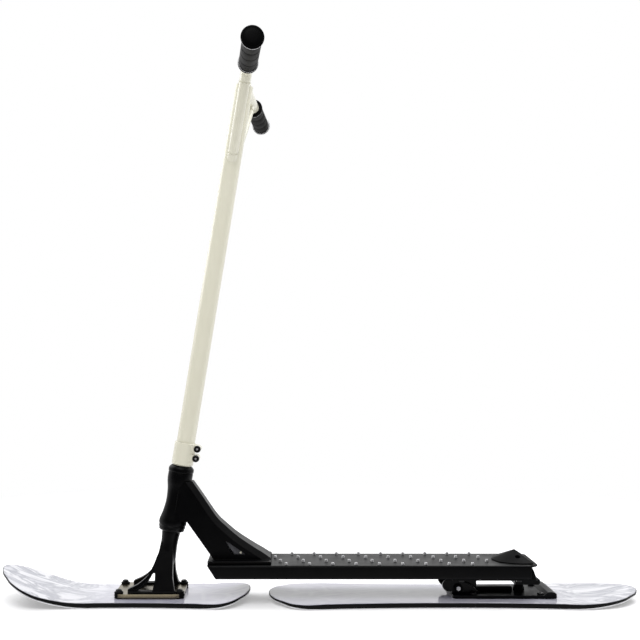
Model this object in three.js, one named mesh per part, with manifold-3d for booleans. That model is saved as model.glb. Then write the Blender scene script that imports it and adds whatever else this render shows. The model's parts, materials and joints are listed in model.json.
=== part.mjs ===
// A snow scooter: a kick scooter's bar, fork and deck on two short skis.
// Millimetres. +X runs forward, +Y to the rider's left and +Z up. The origin lies on the
// snow under the middle of the scooter.
import * as THREE from 'three';
import { mergeVertices } from 'three/addons/utils/BufferGeometryUtils.js';
import Module from 'manifold-3d';

const wasm = await Module();
wasm.setup();

// Fits that all pieces share
const seatGap = 0.3;
const tubeFit = 0.3;
const holeFit = 0.4;
const overrun = 2;

// Layout along X, from the front ski's nose back
const frontSkiLength = 465;
const skiSpacing = 35;
const steerFootShare = 0.63269;
const steerFootSetback = steerFootShare * frontSkiLength;
const deckSetback = 92.8;
const deckLength = 595;
const pivotReach = 129;
const rearPlateNose = 12;
const rearPlateLength = 193;
const rearSkiTailReach = 158;
const noseToRearPlate = steerFootSetback + deckSetback + deckLength - pivotReach - rearPlateNose;
const overallLength = noseToRearPlate + rearPlateLength + rearSkiTailReach;
const rearSkiLength = overallLength - frontSkiLength - skiSpacing;
const steerFootX = overallLength / 2 - steerFootSetback;
const deckFrontX = steerFootX - deckSetback;
const deckRearX = deckFrontX - deckLength;
const pivotX = deckRearX + pivotReach;
const rearPlateFrontX = pivotX + rearPlateNose;

// Skis: plan and rocker
const noseCurveShare = 0.3763;
const tailCurveShare = 0.2022;
const flatMargin = 2;
const skiThickness = 11;
const skiTipThickness = 5;
const topSheetThickness = 0.8;
const topSheetInset = 1.2;
const edgeWidth = 2.2;
const edgeHeight = 2;
const frontSki = {
  noseX: overallLength / 2,
  length: frontSkiLength,
  noseWidth: 168,
  waistWidth: 148,
  tailWidth: 168,
  noseRoundness: 80,
  tailRoundness: 58,
  noseCurve: noseCurveShare * frontSkiLength,
  noseRise: 58,
  tailCurve: tailCurveShare * frontSkiLength,
  tailRise: 17,
};
const rearSki = {
  noseX: frontSki.noseX - frontSkiLength - skiSpacing,
  length: rearSkiLength,
  noseWidth: 174,
  waistWidth: 147,
  tailWidth: 170,
  noseRoundness: 75,
  tailRoundness: 125,
  noseCurve: 101,
  noseRise: 9,
  tailCurve: rearSkiTailReach - flatMargin,
  tailRise: 17,
};
const skiCurveSteps = 5;
const skiRoundSteps = 7;

// Facets round a circle, by its size
const wideSides = 18;
const middleSides = 12;
const smallSides = 8;
const hexSides = 6;
const cornerSteps = 3;
const roundSteps = 5;

// Steering axis: leans back from the snow
const headTilt = THREE.MathUtils.degToRad(9.3);

// Steerer, headset and head tube, as heights along the steering axis
const steererDiameter = 28.6;
const steererWall = 3;
const crownTop = 131.7;
const crownRaceHeight = 11.2;
const headTubeHeight = 99.6;
const headTubeWaist = 38;
const headTubeTopFlare = 46.5;
const headTubeBottomFlare = 52;
const bearingDiameter = 41.8;
const bearingHeight = 7;
const bearingShoulder = 30.5;
const dustCapDiameter = 47.5;
const dustCapHeight = 12.8;
const compressionRingHeight = 4;

// Handlebar
const barTubeDiameter = 34.9;
const barTubeWall = 1.6;
const barHeight = 726;
const crossbarDiameter = 22.2;
const crossbarWall = 2;
const barWidth = 600;
const barSweep = THREE.MathUtils.degToRad(5);
const barSlitWidth = 1.6;
const braceDiameter = 19;
const braceDrop = 152;
const braceToGrip = 37.4;
const braceBow = 12;
const braceSteps = 6;
const gripLength = 142;
const gripDiameter = 33;
const gripFlangeDiameter = 36.5;
const gripFlangeThickness = 4;
const gripRingDepth = 1.1;
const gripRingCount = 4;
const gripBevelShare = 0.17;
const barEndDiameter = 38.5;
const barEndThickness = 8;
const barEndStem = 20;
const gripOuter = barWidth / 2 - barEndThickness - 2 * seatGap;
const braceReach = gripOuter - gripLength - braceToGrip;

// Bar clamp
const clampHeight = 34.5;
const clampLift = 1.7;
const clampDiameter = 46;
const clampEarReach = 31;
const clampEarWidth = 32;
const clampSlot = 2.4;
const clampBoltReach = 23.4;
const clampBoltSpacing = 18.1;
const clampBoltDiameter = 6;
const clampBoltHeadDiameter = 13.2;
const clampBoltHeadHeight = 4.5;

// Compression hardware inside the bar
const shimHeight = 34;
const steererAboveRing = 64;
const topCapThickness = 6;
const compressionBoltDiameter = 8;
const compressionBoltHeadDiameter = 13;
const compressionBoltLength = 30;
const starNutDrop = 1.2;

// Deck
const deckUnderside = 49.5;
const deckHeight = 25.3;
const deckWidth = 119;
const deckFrontChamfer = 16.5;
const deckCorner = 4;
const deckSideWall = 5;
const deckSkin = 3.2;
const deckRib = 3;
const deckChannels = 3;
const deckFrontWall = 14;
const deckChannelCorner = 2.5;
const studDiameter = 6;
const studHeight = 4.4;
// Rows of studs: places as shares of the deck's half width and of its length
const studPitchShare = 0.0721;
const studRows = [
  { acrossShare: 0.83, startShare: 0.2445, count: 9 },
  { acrossShare: 0.34, startShare: 0.2264, count: 10 },
  { acrossShare: -0.22, startShare: 0.2106, count: 10 },
  { acrossShare: -0.8, startShare: 0.2642, count: 9 },
];

// Neck: gusset box and foot flange under the head tube
const gussetWidth = 74;
const gussetTopWidth = 40;
const gussetWall = 5;
const gussetRoofWall = 7;
const gussetRidgeWidth = 16;
const gussetEaveDrop = 10.5;
const gussetFrontSetback = 11.7;
const gussetRun = 104.6;
const gussetTopDrop = 30.1;
const gussetThroatRise = 5.3;
const gussetThroatSetback = 28.6;
const neckFlangeThickness = 5.4;
const neckFlangeLength = 118;
const neckFlangeWidth = 100;

// Tail of the deck
const endCapLip = 13.7;
const endCapLipThickness = 1.8;
const endCapLipRound = 11;
const endCapFootDepth = 10.5;
// Bowed back of the cap from its foot up to the lip: shares of its depth and height
const endCapBackShares = [[1, 0], [0.8, 0.25], [0.52, 0.55], [0.15, 0.86]];
const endCapPlug = 12;
const endCapPlugFit = 0.5;
const wedgeLength = 68;
const wedgeHeight = 18.9;
const wedgeWidth = 94;
const wedgeTipReach = 61;
const wedgeTipX = deckRearX + wedgeTipReach;
const wedgeLip = 1.4;
const wedgeRidgeWidth = 5;
const wedgePeakShare = 0.64;
// Foot of the wedge behind its tip: shares of its length and of its half width
const wedgeFootShares = [[0, 0.09], [0.13, 0.64], [0.4, 0.9], [0.7, 1], [1, 0.96]];
const wedgeScrewSpread = 25;
const wedgeScrewFloor = 3.4;
const wedgeScrewDiameter = 5;
const wedgeScrewHeadDiameter = 9;
const wedgeScrewHeadHeight = 2.4;
const wedgeScrewLength = 8;

// Rear hanger, pivot and bumper
const pivotHeight = 27;
const pivotDiameter = 8;
const pivotHeadDiameter = 13;
const pivotHeadHeight = 5.5;
const pivotThreadProud = 1.2;
const pivotWall = 4.3;
const hangerWidth = 40;
const hangerFlangeThickness = 4.6;
const hangerEndCorner = 3;
const hangerFillet = 6;
const hangerFlangeWidth = 92;
const hangerNose = 13.5;
const hangerFrontX = pivotX + hangerNose;
const hangerOverhang = 15.5;
const hangerLength = hangerFrontX - deckRearX + hangerOverhang;
const hangerLegLength = 49;
const hangerLegClearance = 3;
const hangerTailReach = 7;
const hangerTailDrop = 9;
const hangerBoltDiameter = 6;
const hangerBoltHeadDiameter = 11;
const hangerBoltHeadHeight = 4;
const hangerBoltLength = 9;
const hangerBoltSpread = 34;
const hangerBoltSetback = 18.5;
const hangerRearBoltInset = 32.5;
const hangerFrontBoltX = hangerFrontX - hangerBoltSetback;
const hangerRearBoltX = hangerFrontX - hangerLength + hangerRearBoltInset;
const bumperInset = 62;
const bumperX = rearPlateFrontX - rearPlateLength + bumperInset;
const bumperDiameter = 22;
const bumperTopDiameter = 16;
const bumperStandoff = 13.4;
const bumperScrewDiameter = 5;
const bumperScrewHeadDiameter = 9;
const bumperScrewHeadHeight = 3;
const bumperScrewReach = 7;

// Rear base plate
const rearPlateThickness = 6;
const rearPlateWidth = 92;
const rearPlateCorner = 8;
const rearScrewSpread = 35;
const rearScrewSetback = 39;
const rearScrewInset = 30;
const rearScrewFrontX = rearPlateFrontX - rearScrewSetback;
const rearScrewRearX = rearPlateFrontX - rearPlateLength + rearScrewInset;
const rearScrewDiameter = 6;
const rearScrewEngagement = 6;
const rearPlateTipHeight = 12.5;
const rearPlateTipLength = 20;
const rearRibWidth = 12;
const rearRibHeight = 8.2;
const rearRibSetback = 38;
const rearRibGap = 2;
const earThickness = 7;
const earGap = 0.8;
const earLobeRadius = 11;
const earLobeSetForward = 18;
const earLobeHeight = 32;
const earFootLength = 56;

// Front base plate, fork feet and rubber mounts
const frontPlateLength = 127;
const frontPlateWidth = 102;
const frontPlateThickness = 7;
const frontPlateHeel = 47.8;
const frontPlateRearX = steerFootX - frontPlateHeel;
const frontPlateCorner = 9;
const rubberDiameter = 15;
const lowerRubberHeight = 1.8;
const upperRubberHeight = 2.6;
const mountBoltDiameter = 6;
const mountBoltHeadDiameter = 12;
const mountBoltHeadHeight = 4;
const mountBoltEngagement = 6;
const mountSetback = 9;
const mountHeelInset = 5;
const mountSpacing = frontPlateLength - mountSetback - mountHeelInset;
const mountSpread = 39;
const skiScrewHeadDiameter = 12;
const skiScrewHeadHeight = 3;
const screwRimShare = 0.6;
const screwCrownShare = 0.77;
const forkLegThickness = 12;
const forkLegSpread = 38;
const forkLegTopSpread = 15;
const forkSplitHeight = 80;
const forkCrownHeight = 110;
const forkShoulderDiameter = 34.5;
const forkNeckDiameter = 31;
const forkNeckFlare = 1.2;
const forkHeelSetback = 33.2;
const forkHeelX = steerFootX - forkHeelSetback;
const forkFootMargin = 39;
const forkFootLength = frontPlateLength - forkFootMargin;
const forkRailThickness = 3.4;
const forkRailWidth = 15;
const forkPocketDepth = 2;
const footScrewDiameter = 5;
const footScrewHeadDiameter = 9;
const footScrewHeadHeight = 1.4;
const footScrewLength = 9;
const footScrewSpread = 35.5;
const heelScrewInset = 21.4;
const toeScrewInset = 15.6;
const heelScrewX = forkHeelX + heelScrewInset;
const toeScrewX = forkHeelX + forkFootLength - toeScrewInset;

// Heights that follow from the stack of pieces
const skiTop = skiThickness;
const frontPlateBottom = skiTop + lowerRubberHeight + 2 * seatGap;
const frontPlateTop = frontPlateBottom + frontPlateThickness;
const footBottom = frontPlateTop + seatGap;
const rearPlateBottom = skiTop + seatGap;
const rearPlateTop = rearPlateBottom + rearPlateThickness;
const deckTop = deckUnderside + deckHeight;
const hangerTop = deckUnderside - seatGap;
const headTubeBottom = crownTop + crownRaceHeight + 2 * seatGap;
const headTubeTop = headTubeBottom + headTubeHeight;
const gussetFrontX = deckFrontX - gussetFrontSetback;
const gussetRearX = gussetFrontX - gussetRun;
const gussetTopHeight = headTubeTop - gussetTopDrop;
const gussetThroatHeight = headTubeBottom + gussetThroatRise;
const dustCapBottom = headTubeTop + seatGap;
const dustCapTop = dustCapBottom + dustCapHeight;
const barBottom = dustCapTop + seatGap;
const crossbarHeight = barBottom + barHeight;
const clampBottom = barBottom + clampLift;
const steererTop = dustCapTop + steererAboveRing;

const scooter = new THREE.Group();

function finish(color, roughness, metalness) {
  return new THREE.MeshStandardMaterial({ color, roughness, metalness });
}

function blackPaint() {
  return finish('#17171a', 0.5, 0.2);
}

function creamPaint() {
  return finish('#f1eee4', 0.25, 0.1);
}

function blackRubber() {
  return finish('#1b1b1c', 0.85, 0);
}

function brightSteel() {
  return finish('#b9babd', 0.3, 0.9);
}

function blackSteel() {
  return finish('#232326', 0.42, 0.7);
}

// Solids and meshes

function solidOf(geometry) {
  const bare = geometry.index ? geometry.toNonIndexed() : geometry.clone();
  bare.deleteAttribute('normal');
  bare.deleteAttribute('uv');
  const merged = mergeVertices(bare);
  const vertProperties = Float32Array.from(merged.attributes.position.array);
  const triVerts = Uint32Array.from(merged.index.array);
  return new wasm.Manifold(new wasm.Mesh({ numProp: 3, vertProperties, triVerts }));
}

function geometryOf(solid) {
  const { vertProperties, triVerts } = solid.getMesh();
  const geometry = new THREE.BufferGeometry();
  geometry.setAttribute('position', new THREE.BufferAttribute(vertProperties, 3));
  geometry.setIndex(new THREE.BufferAttribute(triVerts, 1));
  geometry.computeVertexNormals();
  return geometry;
}

function joined(solids) {
  return solids.reduce((sum, solid) => sum.add(solid));
}

function cut(solid, tools) {
  return tools.reduce((rest, tool) => rest.subtract(tool), solid);
}

function addPiece(parent, name, solid, material, place = new THREE.Vector3()) {
  const mesh = new THREE.Mesh(geometryOf(solid), material);
  mesh.name = name;
  mesh.position.copy(place);
  parent.add(mesh);
  return mesh;
}

// Turned form about Z from pairs of radius and height; the profile is closed on the axis
function turned(profile, sides) {
  const points = profile.map(([radius, height]) => new THREE.Vector2(radius, height));
  return new THREE.LatheGeometry(points, sides).rotateX(Math.PI / 2);
}

function rod(radius, bottom, top, sides = middleSides) {
  const height = top - bottom;
  return new THREE.CylinderGeometry(radius, radius, height, sides)
    .rotateX(Math.PI / 2)
    .translate(0, 0, bottom + height / 2);
}

// Rod along Y, centred on the XZ point
function crossRod(radius, x, z, fromY, toY, sides = middleSides) {
  return rod(radius, -toY, -fromY, sides).rotateX(Math.PI / 2).translate(x, 0, z);
}

function block(fromX, toX, fromY, toY, fromZ, toZ) {
  return new THREE.BoxGeometry(toX - fromX, toY - fromY, toZ - fromZ)
    .translate((fromX + toX) / 2, (fromY + toY) / 2, (fromZ + toZ) / 2);
}

// Side outline in X and Z, pulled out to a width across Y
function sideExtrusion(shape, width, curveSegments = 6) {
  return new THREE.ExtrudeGeometry(shape, { depth: width, bevelEnabled: false, curveSegments })
    .rotateX(Math.PI / 2)
    .translate(0, width / 2, 0);
}

// Plan outline in X and Y, pulled up between two heights
function planExtrusion(shape, bottom, top, curveSegments = 6) {
  return new THREE.ExtrudeGeometry(shape, { depth: top - bottom, bevelEnabled: false, curveSegments })
    .translate(0, 0, bottom);
}

// Outline across Y and Z, pulled along X
function endExtrusion(shape, fromX, toX, curveSegments = 4) {
  return new THREE.ExtrudeGeometry(shape, { depth: toX - fromX, bevelEnabled: false, curveSegments })
    .rotateZ(Math.PI / 2)
    .rotateY(Math.PI / 2)
    .translate(fromX, 0, 0);
}

function roundedRectangle(centreX, centreY, width, height, radius) {
  const shape = new THREE.Shape();
  const halfWidth = width / 2;
  const halfHeight = height / 2;
  const insetX = halfWidth - radius;
  const insetY = halfHeight - radius;
  const quarter = Math.PI / 2;
  shape.moveTo(centreX - insetX, centreY - halfHeight);
  shape.lineTo(centreX + insetX, centreY - halfHeight);
  shape.absarc(centreX + insetX, centreY - insetY, radius, -quarter, 0);
  shape.absarc(centreX + insetX, centreY + insetY, radius, 0, quarter);
  shape.absarc(centreX - insetX, centreY + insetY, radius, quarter, 2 * quarter);
  shape.absarc(centreX - insetX, centreY - insetY, radius, 2 * quarter, 3 * quarter);
  return shape;
}

function polygon(points) {
  return new THREE.Shape(points.map(([x, y]) => new THREE.Vector2(x, y)));
}

function onSteeringAxis(geometry) {
  return geometry.rotateY(-headTilt).translate(steerFootX, 0, 0);
}

// Skis

function skiTailX(ski) {
  return ski.noseX - ski.length;
}

function skiBend(ski, x) {
  const nose = Math.max(0, 1 - (ski.noseX - x) / ski.noseCurve);
  const tail = Math.max(0, 1 - (x - skiTailX(ski)) / ski.tailCurve);
  const rise = ski.noseRise * nose ** 2 + ski.tailRise * tail ** 2;
  const depth = skiThickness + (skiTipThickness - skiThickness) * Math.max(nose, tail);
  return { rise, depth };
}

function skiStations(ski) {
  const shares = Array.from({ length: skiCurveSteps }, (_, step) => (step + 1) / skiCurveSteps);
  const tail = shares.map((share) => skiTailX(ski) + share * ski.tailCurve);
  const nose = shares.map((share) => ski.noseX - share * ski.noseCurve).reverse();
  return [skiTailX(ski) - overrun, ...tail, ...nose, ski.noseX + overrun];
}

// Layer that follows the rocker; low and high give its faces from the local thickness
function skiBand(ski, low, high) {
  const edgeAt = (level) => skiStations(ski).map((x) => {
    const { rise, depth } = skiBend(ski, x);
    return [x, rise + level(depth)];
  });
  const outline = polygon([...edgeAt(low), ...edgeAt(high).reverse()]);
  return solidOf(sideExtrusion(outline, 2 * ski.noseWidth));
}

function skiPlan(ski, inset) {
  const noseShoulder = ski.noseX - ski.noseRoundness;
  const tailShoulder = skiTailX(ski) + ski.tailRoundness;
  const noseHalf = ski.noseWidth / 2 - inset;
  const tailHalf = ski.tailWidth / 2 - inset;
  const waistPull = ski.waistWidth - 2 * inset - (noseHalf + tailHalf) / 2;
  const middle = (noseShoulder + tailShoulder) / 2;
  const quarter = Math.PI / 2;
  const shape = new THREE.Shape();
  shape.absellipse(noseShoulder, 0, ski.noseRoundness - inset, noseHalf, -quarter, quarter);
  shape.quadraticCurveTo(middle, waistPull, tailShoulder, tailHalf);
  shape.absellipse(tailShoulder, 0, ski.tailRoundness - inset, tailHalf, quarter, 3 * quarter);
  shape.quadraticCurveTo(middle, -waistPull, noseShoulder, -noseHalf);
  const highest = Math.max(ski.noseRise, ski.tailRise) + 2 * skiThickness;
  return solidOf(planExtrusion(shape, -highest, highest, skiRoundSteps));
}

function skiScrewHoles(places, diameter, engagement) {
  const radius = diameter / 2 + holeFit;
  return places.map(([x, y]) => (
    solidOf(rod(radius, skiTop - engagement - holeFit, skiTop + overrun, smallSides).translate(x, y, 0))
  ));
}

function skiCore(ski, holes) {
  const topOfCore = (depth) => depth - topSheetThickness - seatGap;
  const core = skiPlan(ski, 0).intersect(skiBand(ski, () => 0, topOfCore));
  const rebateBand = skiBand(ski, () => -overrun, () => edgeHeight + seatGap);
  const rebate = skiPlan(ski, -overrun).subtract(skiPlan(ski, edgeWidth + seatGap));
  return cut(core, [rebate.intersect(rebateBand), ...holes]);
}

function skiTopSheet(ski, holes) {
  const band = skiBand(ski, (depth) => depth - topSheetThickness, (depth) => depth);
  return cut(skiPlan(ski, topSheetInset).intersect(band), holes);
}

function skiEdge(ski) {
  const ring = skiPlan(ski, 0).subtract(skiPlan(ski, edgeWidth));
  return ring.intersect(skiBand(ski, () => 0, () => edgeHeight));
}

function addSki(parent, name, ski, holes) {
  const core = finish('#141417', 0.45, 0);
  const sheet = finish('#d9d8e4', 0.2, 0);
  addPiece(parent, name, skiCore(ski, holes), core);
  addPiece(parent, `${name}_top_sheet`, skiTopSheet(ski, holes), sheet);
  addPiece(parent, `${name}_edge`, skiEdge(ski), brightSteel());
}

// Deck

function deckBlank() {
  const middle = deckUnderside + deckHeight / 2;
  const section = roundedRectangle(0, middle, deckWidth, deckHeight, deckCorner);
  const bar = solidOf(endExtrusion(section, deckRearX, deckFrontX, 2));
  const side = polygon([
    [deckRearX - overrun, deckUnderside - overrun],
    [deckFrontX - deckFrontChamfer, deckUnderside],
    [deckFrontX, deckTop],
    [deckFrontX, deckTop + overrun],
    [deckRearX - overrun, deckTop + overrun],
  ]);
  return bar.intersect(solidOf(sideExtrusion(side, 2 * deckWidth)));
}

function channelWidth() {
  const inner = deckWidth - 2 * deckSideWall - (deckChannels - 1) * deckRib;
  return inner / deckChannels;
}

// Rounded bars that fill the deck's channels, smaller all round by the inset
function channelBars(fromX, toX, inset) {
  const width = channelWidth();
  const middle = deckUnderside + deckHeight / 2;
  return Array.from({ length: deckChannels }, (_, index) => {
    const y = (index - (deckChannels - 1) / 2) * (width + deckRib);
    const height = deckHeight - 2 * deckSkin - 2 * inset;
    const section = roundedRectangle(y, middle, width - 2 * inset, height, deckChannelCorner);
    return solidOf(endExtrusion(section, fromX, toX, 2));
  });
}

function studs() {
  return studRows.flatMap(({ acrossShare, startShare, count }) => (
    Array.from({ length: count }, (_, index) => {
      const stud = rod(studDiameter / 2, deckTop - deckSkin / 2, deckTop + studHeight, hexSides);
      const x = deckFrontX - (startShare + index * studPitchShare) * deckLength;
      return solidOf(stud.translate(x, acrossShare * deckWidth / 2, 0));
    })
  ));
}

function hangerBoltPlaces() {
  return [hangerFrontBoltX, hangerRearBoltX].flatMap((x) => (
    [hangerBoltSpread, -hangerBoltSpread].map((y) => [x, y])
  ));
}

function wedgeScrewPlaces() {
  const x = wedgeTipX - wedgePeakShare * wedgeLength;
  return [[x, wedgeScrewSpread], [x, -wedgeScrewSpread]];
}

function addDeck(parent) {
  const channelFront = deckFrontX - deckFrontChamfer - deckFrontWall;
  const channels = channelBars(deckRearX - overrun, channelFront, 0);
  const boltRadius = hangerBoltDiameter / 2 + holeFit;
  const lowerHoles = hangerBoltPlaces().map(([x, y]) => solidOf(
    rod(boltRadius, deckUnderside - overrun, deckUnderside + 2 * deckSkin, smallSides).translate(x, y, 0),
  ));
  const upperHoles = wedgeScrewPlaces().map(([x, y]) => solidOf(
    rod(wedgeScrewDiameter / 2 + holeFit, deckTop - 2 * deckSkin, deckTop + overrun, smallSides)
      .translate(x, y, 0),
  ));
  const deck = joined([deckBlank(), ...studs()]);
  addPiece(parent, 'deck', cut(deck, [...channels, ...lowerHoles, ...upperHoles]), blackPaint());
}

function addDeckEndCap(parent) {
  const face = deckRearX - seatGap;
  const back = endCapBackShares.map(([depthShare, riseShare]) => (
    [face - depthShare * endCapFootDepth, deckUnderside + riseShare * deckHeight]
  ));
  const outline = polygon([
    [face, deckTop],
    [face, deckUnderside],
    ...back,
    [face - endCapLip, deckTop - endCapLipThickness],
    [face - endCapLip, deckTop],
  ]);
  const width = deckWidth - 2 * deckCorner;
  const plan = roundedRectangle(face, 0, 2 * endCapLip, width, endCapLipRound);
  const cap = solidOf(sideExtrusion(outline, width))
    .intersect(solidOf(planExtrusion(plan, deckUnderside - overrun, deckTop + overrun, cornerSteps)));
  const plugs = channelBars(face - seatGap, deckRearX + endCapPlug, endCapPlugFit);
  addPiece(parent, 'deck_end_cap', joined([cap, ...plugs]), finish('#1c1c1e', 0.6, 0));
}

function addFootWedge(parent) {
  const floor = deckTop + seatGap;
  const peakX = wedgeTipX - wedgePeakShare * wedgeLength;
  const sides = [1, -1];
  const foot = wedgeFootShares.flatMap(([backShare, acrossShare]) => (
    sides.flatMap((side) => [floor, floor + wedgeLip].map((level) => (
      [wedgeTipX - backShare * wedgeLength, side * acrossShare * wedgeWidth / 2, level]
    )))
  ));
  const ridge = sides.map((side) => [peakX, side * wedgeRidgeWidth / 2, floor + wedgeHeight]);
  const body = wasm.Manifold.hull([...foot, ...ridge]);
  const seats = wedgeScrewPlaces().flatMap(([x, y]) => [
    rod(wedgeScrewDiameter / 2 + holeFit, floor - overrun, floor + wedgeHeight, smallSides),
    rod(wedgeScrewHeadDiameter / 2 + holeFit, floor + wedgeScrewFloor, floor + wedgeHeight, smallSides),
  ].map((tool) => solidOf(tool.translate(x, y, 0))));
  addPiece(parent, 'foot_wedge', cut(body, seats), finish('#1b1b1d', 0.62, 0));
  wedgeScrewPlaces().forEach(([x, y], index) => {
    const seat = floor + wedgeScrewFloor + seatGap;
    const screw = joined([
      solidOf(rod(wedgeScrewHeadDiameter / 2, seat, seat + wedgeScrewHeadHeight, smallSides)),
      solidOf(rod(wedgeScrewDiameter / 2, seat - wedgeScrewLength, seat + seatGap, smallSides)),
    ]);
    addPiece(parent, `foot_wedge_screw_${index + 1}`, screw, blackSteel(), new THREE.Vector3(x, y, 0));
  });
}

// Neck: head tube, hollow gusset and foot flange in one welded piece

// Radius share runs from the waist to the flare beside it, height share up the tube
const headTubeShares = [
  { flare: headTubeBottomFlare, spread: 0.88, height: 0 },
  { flare: headTubeBottomFlare, spread: 1, height: 0.03 },
  { flare: headTubeBottomFlare, spread: 0.94, height: 0.09 },
  { flare: headTubeBottomFlare, spread: 0.42, height: 0.23 },
  { flare: headTubeBottomFlare, spread: 0.08, height: 0.38 },
  { flare: headTubeTopFlare, spread: 0, height: 0.52 },
  { flare: headTubeTopFlare, spread: 0.1, height: 0.72 },
  { flare: headTubeTopFlare, spread: 0.62, height: 0.87 },
  { flare: headTubeTopFlare, spread: 1, height: 0.93 },
  { flare: headTubeTopFlare, spread: 1, height: 0.985 },
  { flare: headTubeTopFlare, spread: 0.86, height: 1 },
];
// Back of the gusset from the head tube down to the deck, as shares of its run and rise
const gussetBackShares = [
  [1, 1], [0.883, 0.837], [0.766, 0.689], [0.625, 0.515], [0.485, 0.381],
  [0.343, 0.281], [0.179, 0.166], [0.052, 0.062],
];
// Fall from the ridge to the eaves at each of those points, as shares of the full drop
const gussetEaveShares = [0.55, 0.85, 1, 1, 0.95, 0.8, 0.5, 0.2];
// Lightening window as shares of the gusset's run and rise
const gussetWindowShares = [[0.265, 0.1], [0.44, 0.112], [0.525, 0.295], [0.475, 0.262]];
const windowCorner = 4;
const windowCornerSteps = 3;
const miterFloor = 0.4;

function steerAxisX(height) {
  return steerFootX - Math.tan(headTilt) * height;
}

function headTubeBlank() {
  const waist = headTubeWaist / 2;
  const wall = headTubeShares.map(({ flare, spread, height }) => (
    [waist + spread * (flare / 2 - waist), headTubeBottom + height * headTubeHeight]
  ));
  const profile = [[0, headTubeBottom], ...wall, [0, headTubeTop]];
  return solidOf(onSteeringAxis(turned(profile, wideSides)));
}

function headTubeBores() {
  const seatRadius = bearingDiameter / 2 + tubeFit;
  const seatDepth = bearingHeight + seatGap;
  return [
    rod(bearingShoulder / 2, headTubeBottom - overrun, headTubeTop + overrun, wideSides),
    rod(seatRadius, headTubeBottom - overrun, headTubeBottom + seatDepth, wideSides),
    rod(seatRadius, headTubeTop - seatDepth, headTubeTop + overrun, wideSides),
  ].map((tool) => solidOf(onSteeringAxis(tool)));
}

function neckFlangeTop() {
  return deckTop + seatGap + neckFlangeThickness;
}

function gussetPoint([runShare, riseShare]) {
  const topX = steerAxisX(gussetTopHeight) - headTubeWaist / 3;
  return [
    gussetRearX + runShare * (topX - gussetRearX),
    deckTop + riseShare * (gussetTopHeight - deckTop),
  ];
}

// Outline of the gusset whose back follows the given shares down to a foot at rearX
function gussetOutline(backShares, rearX) {
  const foot = neckFlangeTop() - neckFlangeThickness / 2;
  const throatX = steerAxisX(gussetThroatHeight);
  return [
    [steerAxisX(gussetTopHeight), gussetTopHeight],
    ...backShares.map(gussetPoint),
    [rearX, foot],
    [gussetFrontX, foot],
    [throatX - gussetThroatSetback, gussetThroatHeight],
    [throatX, gussetThroatHeight],
  ];
}

function insetOutline(points, distance) {
  const ring = points.map(([x, y]) => new THREE.Vector2(x, y));
  const turn = Math.sign(THREE.ShapeUtils.area(ring));
  return ring.map((point, index) => {
    const before = point.clone().sub(ring.at(index - 1)).normalize();
    const after = ring[(index + 1) % ring.length].clone().sub(point).normalize();
    const wallSide = new THREE.Vector2(-before.y, before.x).multiplyScalar(turn);
    const inward = new THREE.Vector2(-before.y - after.y, before.x + after.x)
      .normalize()
      .multiplyScalar(turn);
    const reach = distance / Math.max(inward.dot(wallSide), miterFloor);
    return [point.x + reach * inward.x, point.y + reach * inward.y];
  });
}

function gussetHalfWidth(x) {
  const front = steerAxisX(gussetThroatHeight);
  const rear = gussetRearX - overrun;
  return THREE.MathUtils.mapLinear(x, rear, front, gussetWidth / 2, gussetTopWidth / 2);
}

// Roof over the gusset: a flat ridge with eaves that fall to the side walls
function gussetRoof() {
  const ridgeHalf = gussetRidgeWidth / 2;
  const wide = gussetWidth / 2 + overrun;
  const back = gussetBackShares.map((shares, index) => {
    const [x, ridge] = gussetPoint(shares);
    const reach = (wide - ridgeHalf) / (gussetHalfWidth(x) - ridgeHalf);
    return { x, ridge, eave: ridge - gussetEaveShares[index] * gussetEaveDrop * reach };
  });
  const sections = [
    { ...back[0], x: steerFootX },
    ...back,
    { ...back.at(-1), x: gussetRearX - overrun },
  ].map(({ x, ridge, eave }) => [1, -1].flatMap((side) => [
    [x, side * wide, deckTop - overrun],
    [x, side * wide, eave],
    [x, side * ridgeHalf, ridge],
  ]));
  const spans = sections.slice(1).map((section, index) => (
    wasm.Manifold.hull([...sections[index], ...section])
  ));
  return joined(spans);
}

function gussetPlan(inset) {
  const rear = gussetRearX - overrun;
  const front = steerAxisX(gussetThroatHeight);
  const half = gussetWidth / 2 - inset;
  const topHalf = gussetTopWidth / 2 - inset;
  const plan = polygon([[rear, half], [rear, -half], [front, -topHalf], [front, topHalf]]);
  return solidOf(planExtrusion(plan, deckTop - overrun, gussetTopHeight + overrun));
}

function roundedPolygon(points, radius) {
  const corners = points.map(([x, y]) => new THREE.Vector2(x, y));
  const shape = new THREE.Shape();
  corners.forEach((corner, index) => {
    const toBefore = corners.at(index - 1).clone().sub(corner).setLength(radius);
    const toAfter = corners[(index + 1) % corners.length].clone().sub(corner).setLength(radius);
    const start = corner.clone().add(toBefore);
    const end = corner.clone().add(toAfter);
    if (index === 0) shape.moveTo(start.x, start.y);
    else shape.lineTo(start.x, start.y);
    shape.quadraticCurveTo(corner.x, corner.y, end.x, end.y);
  });
  return shape;
}

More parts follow.
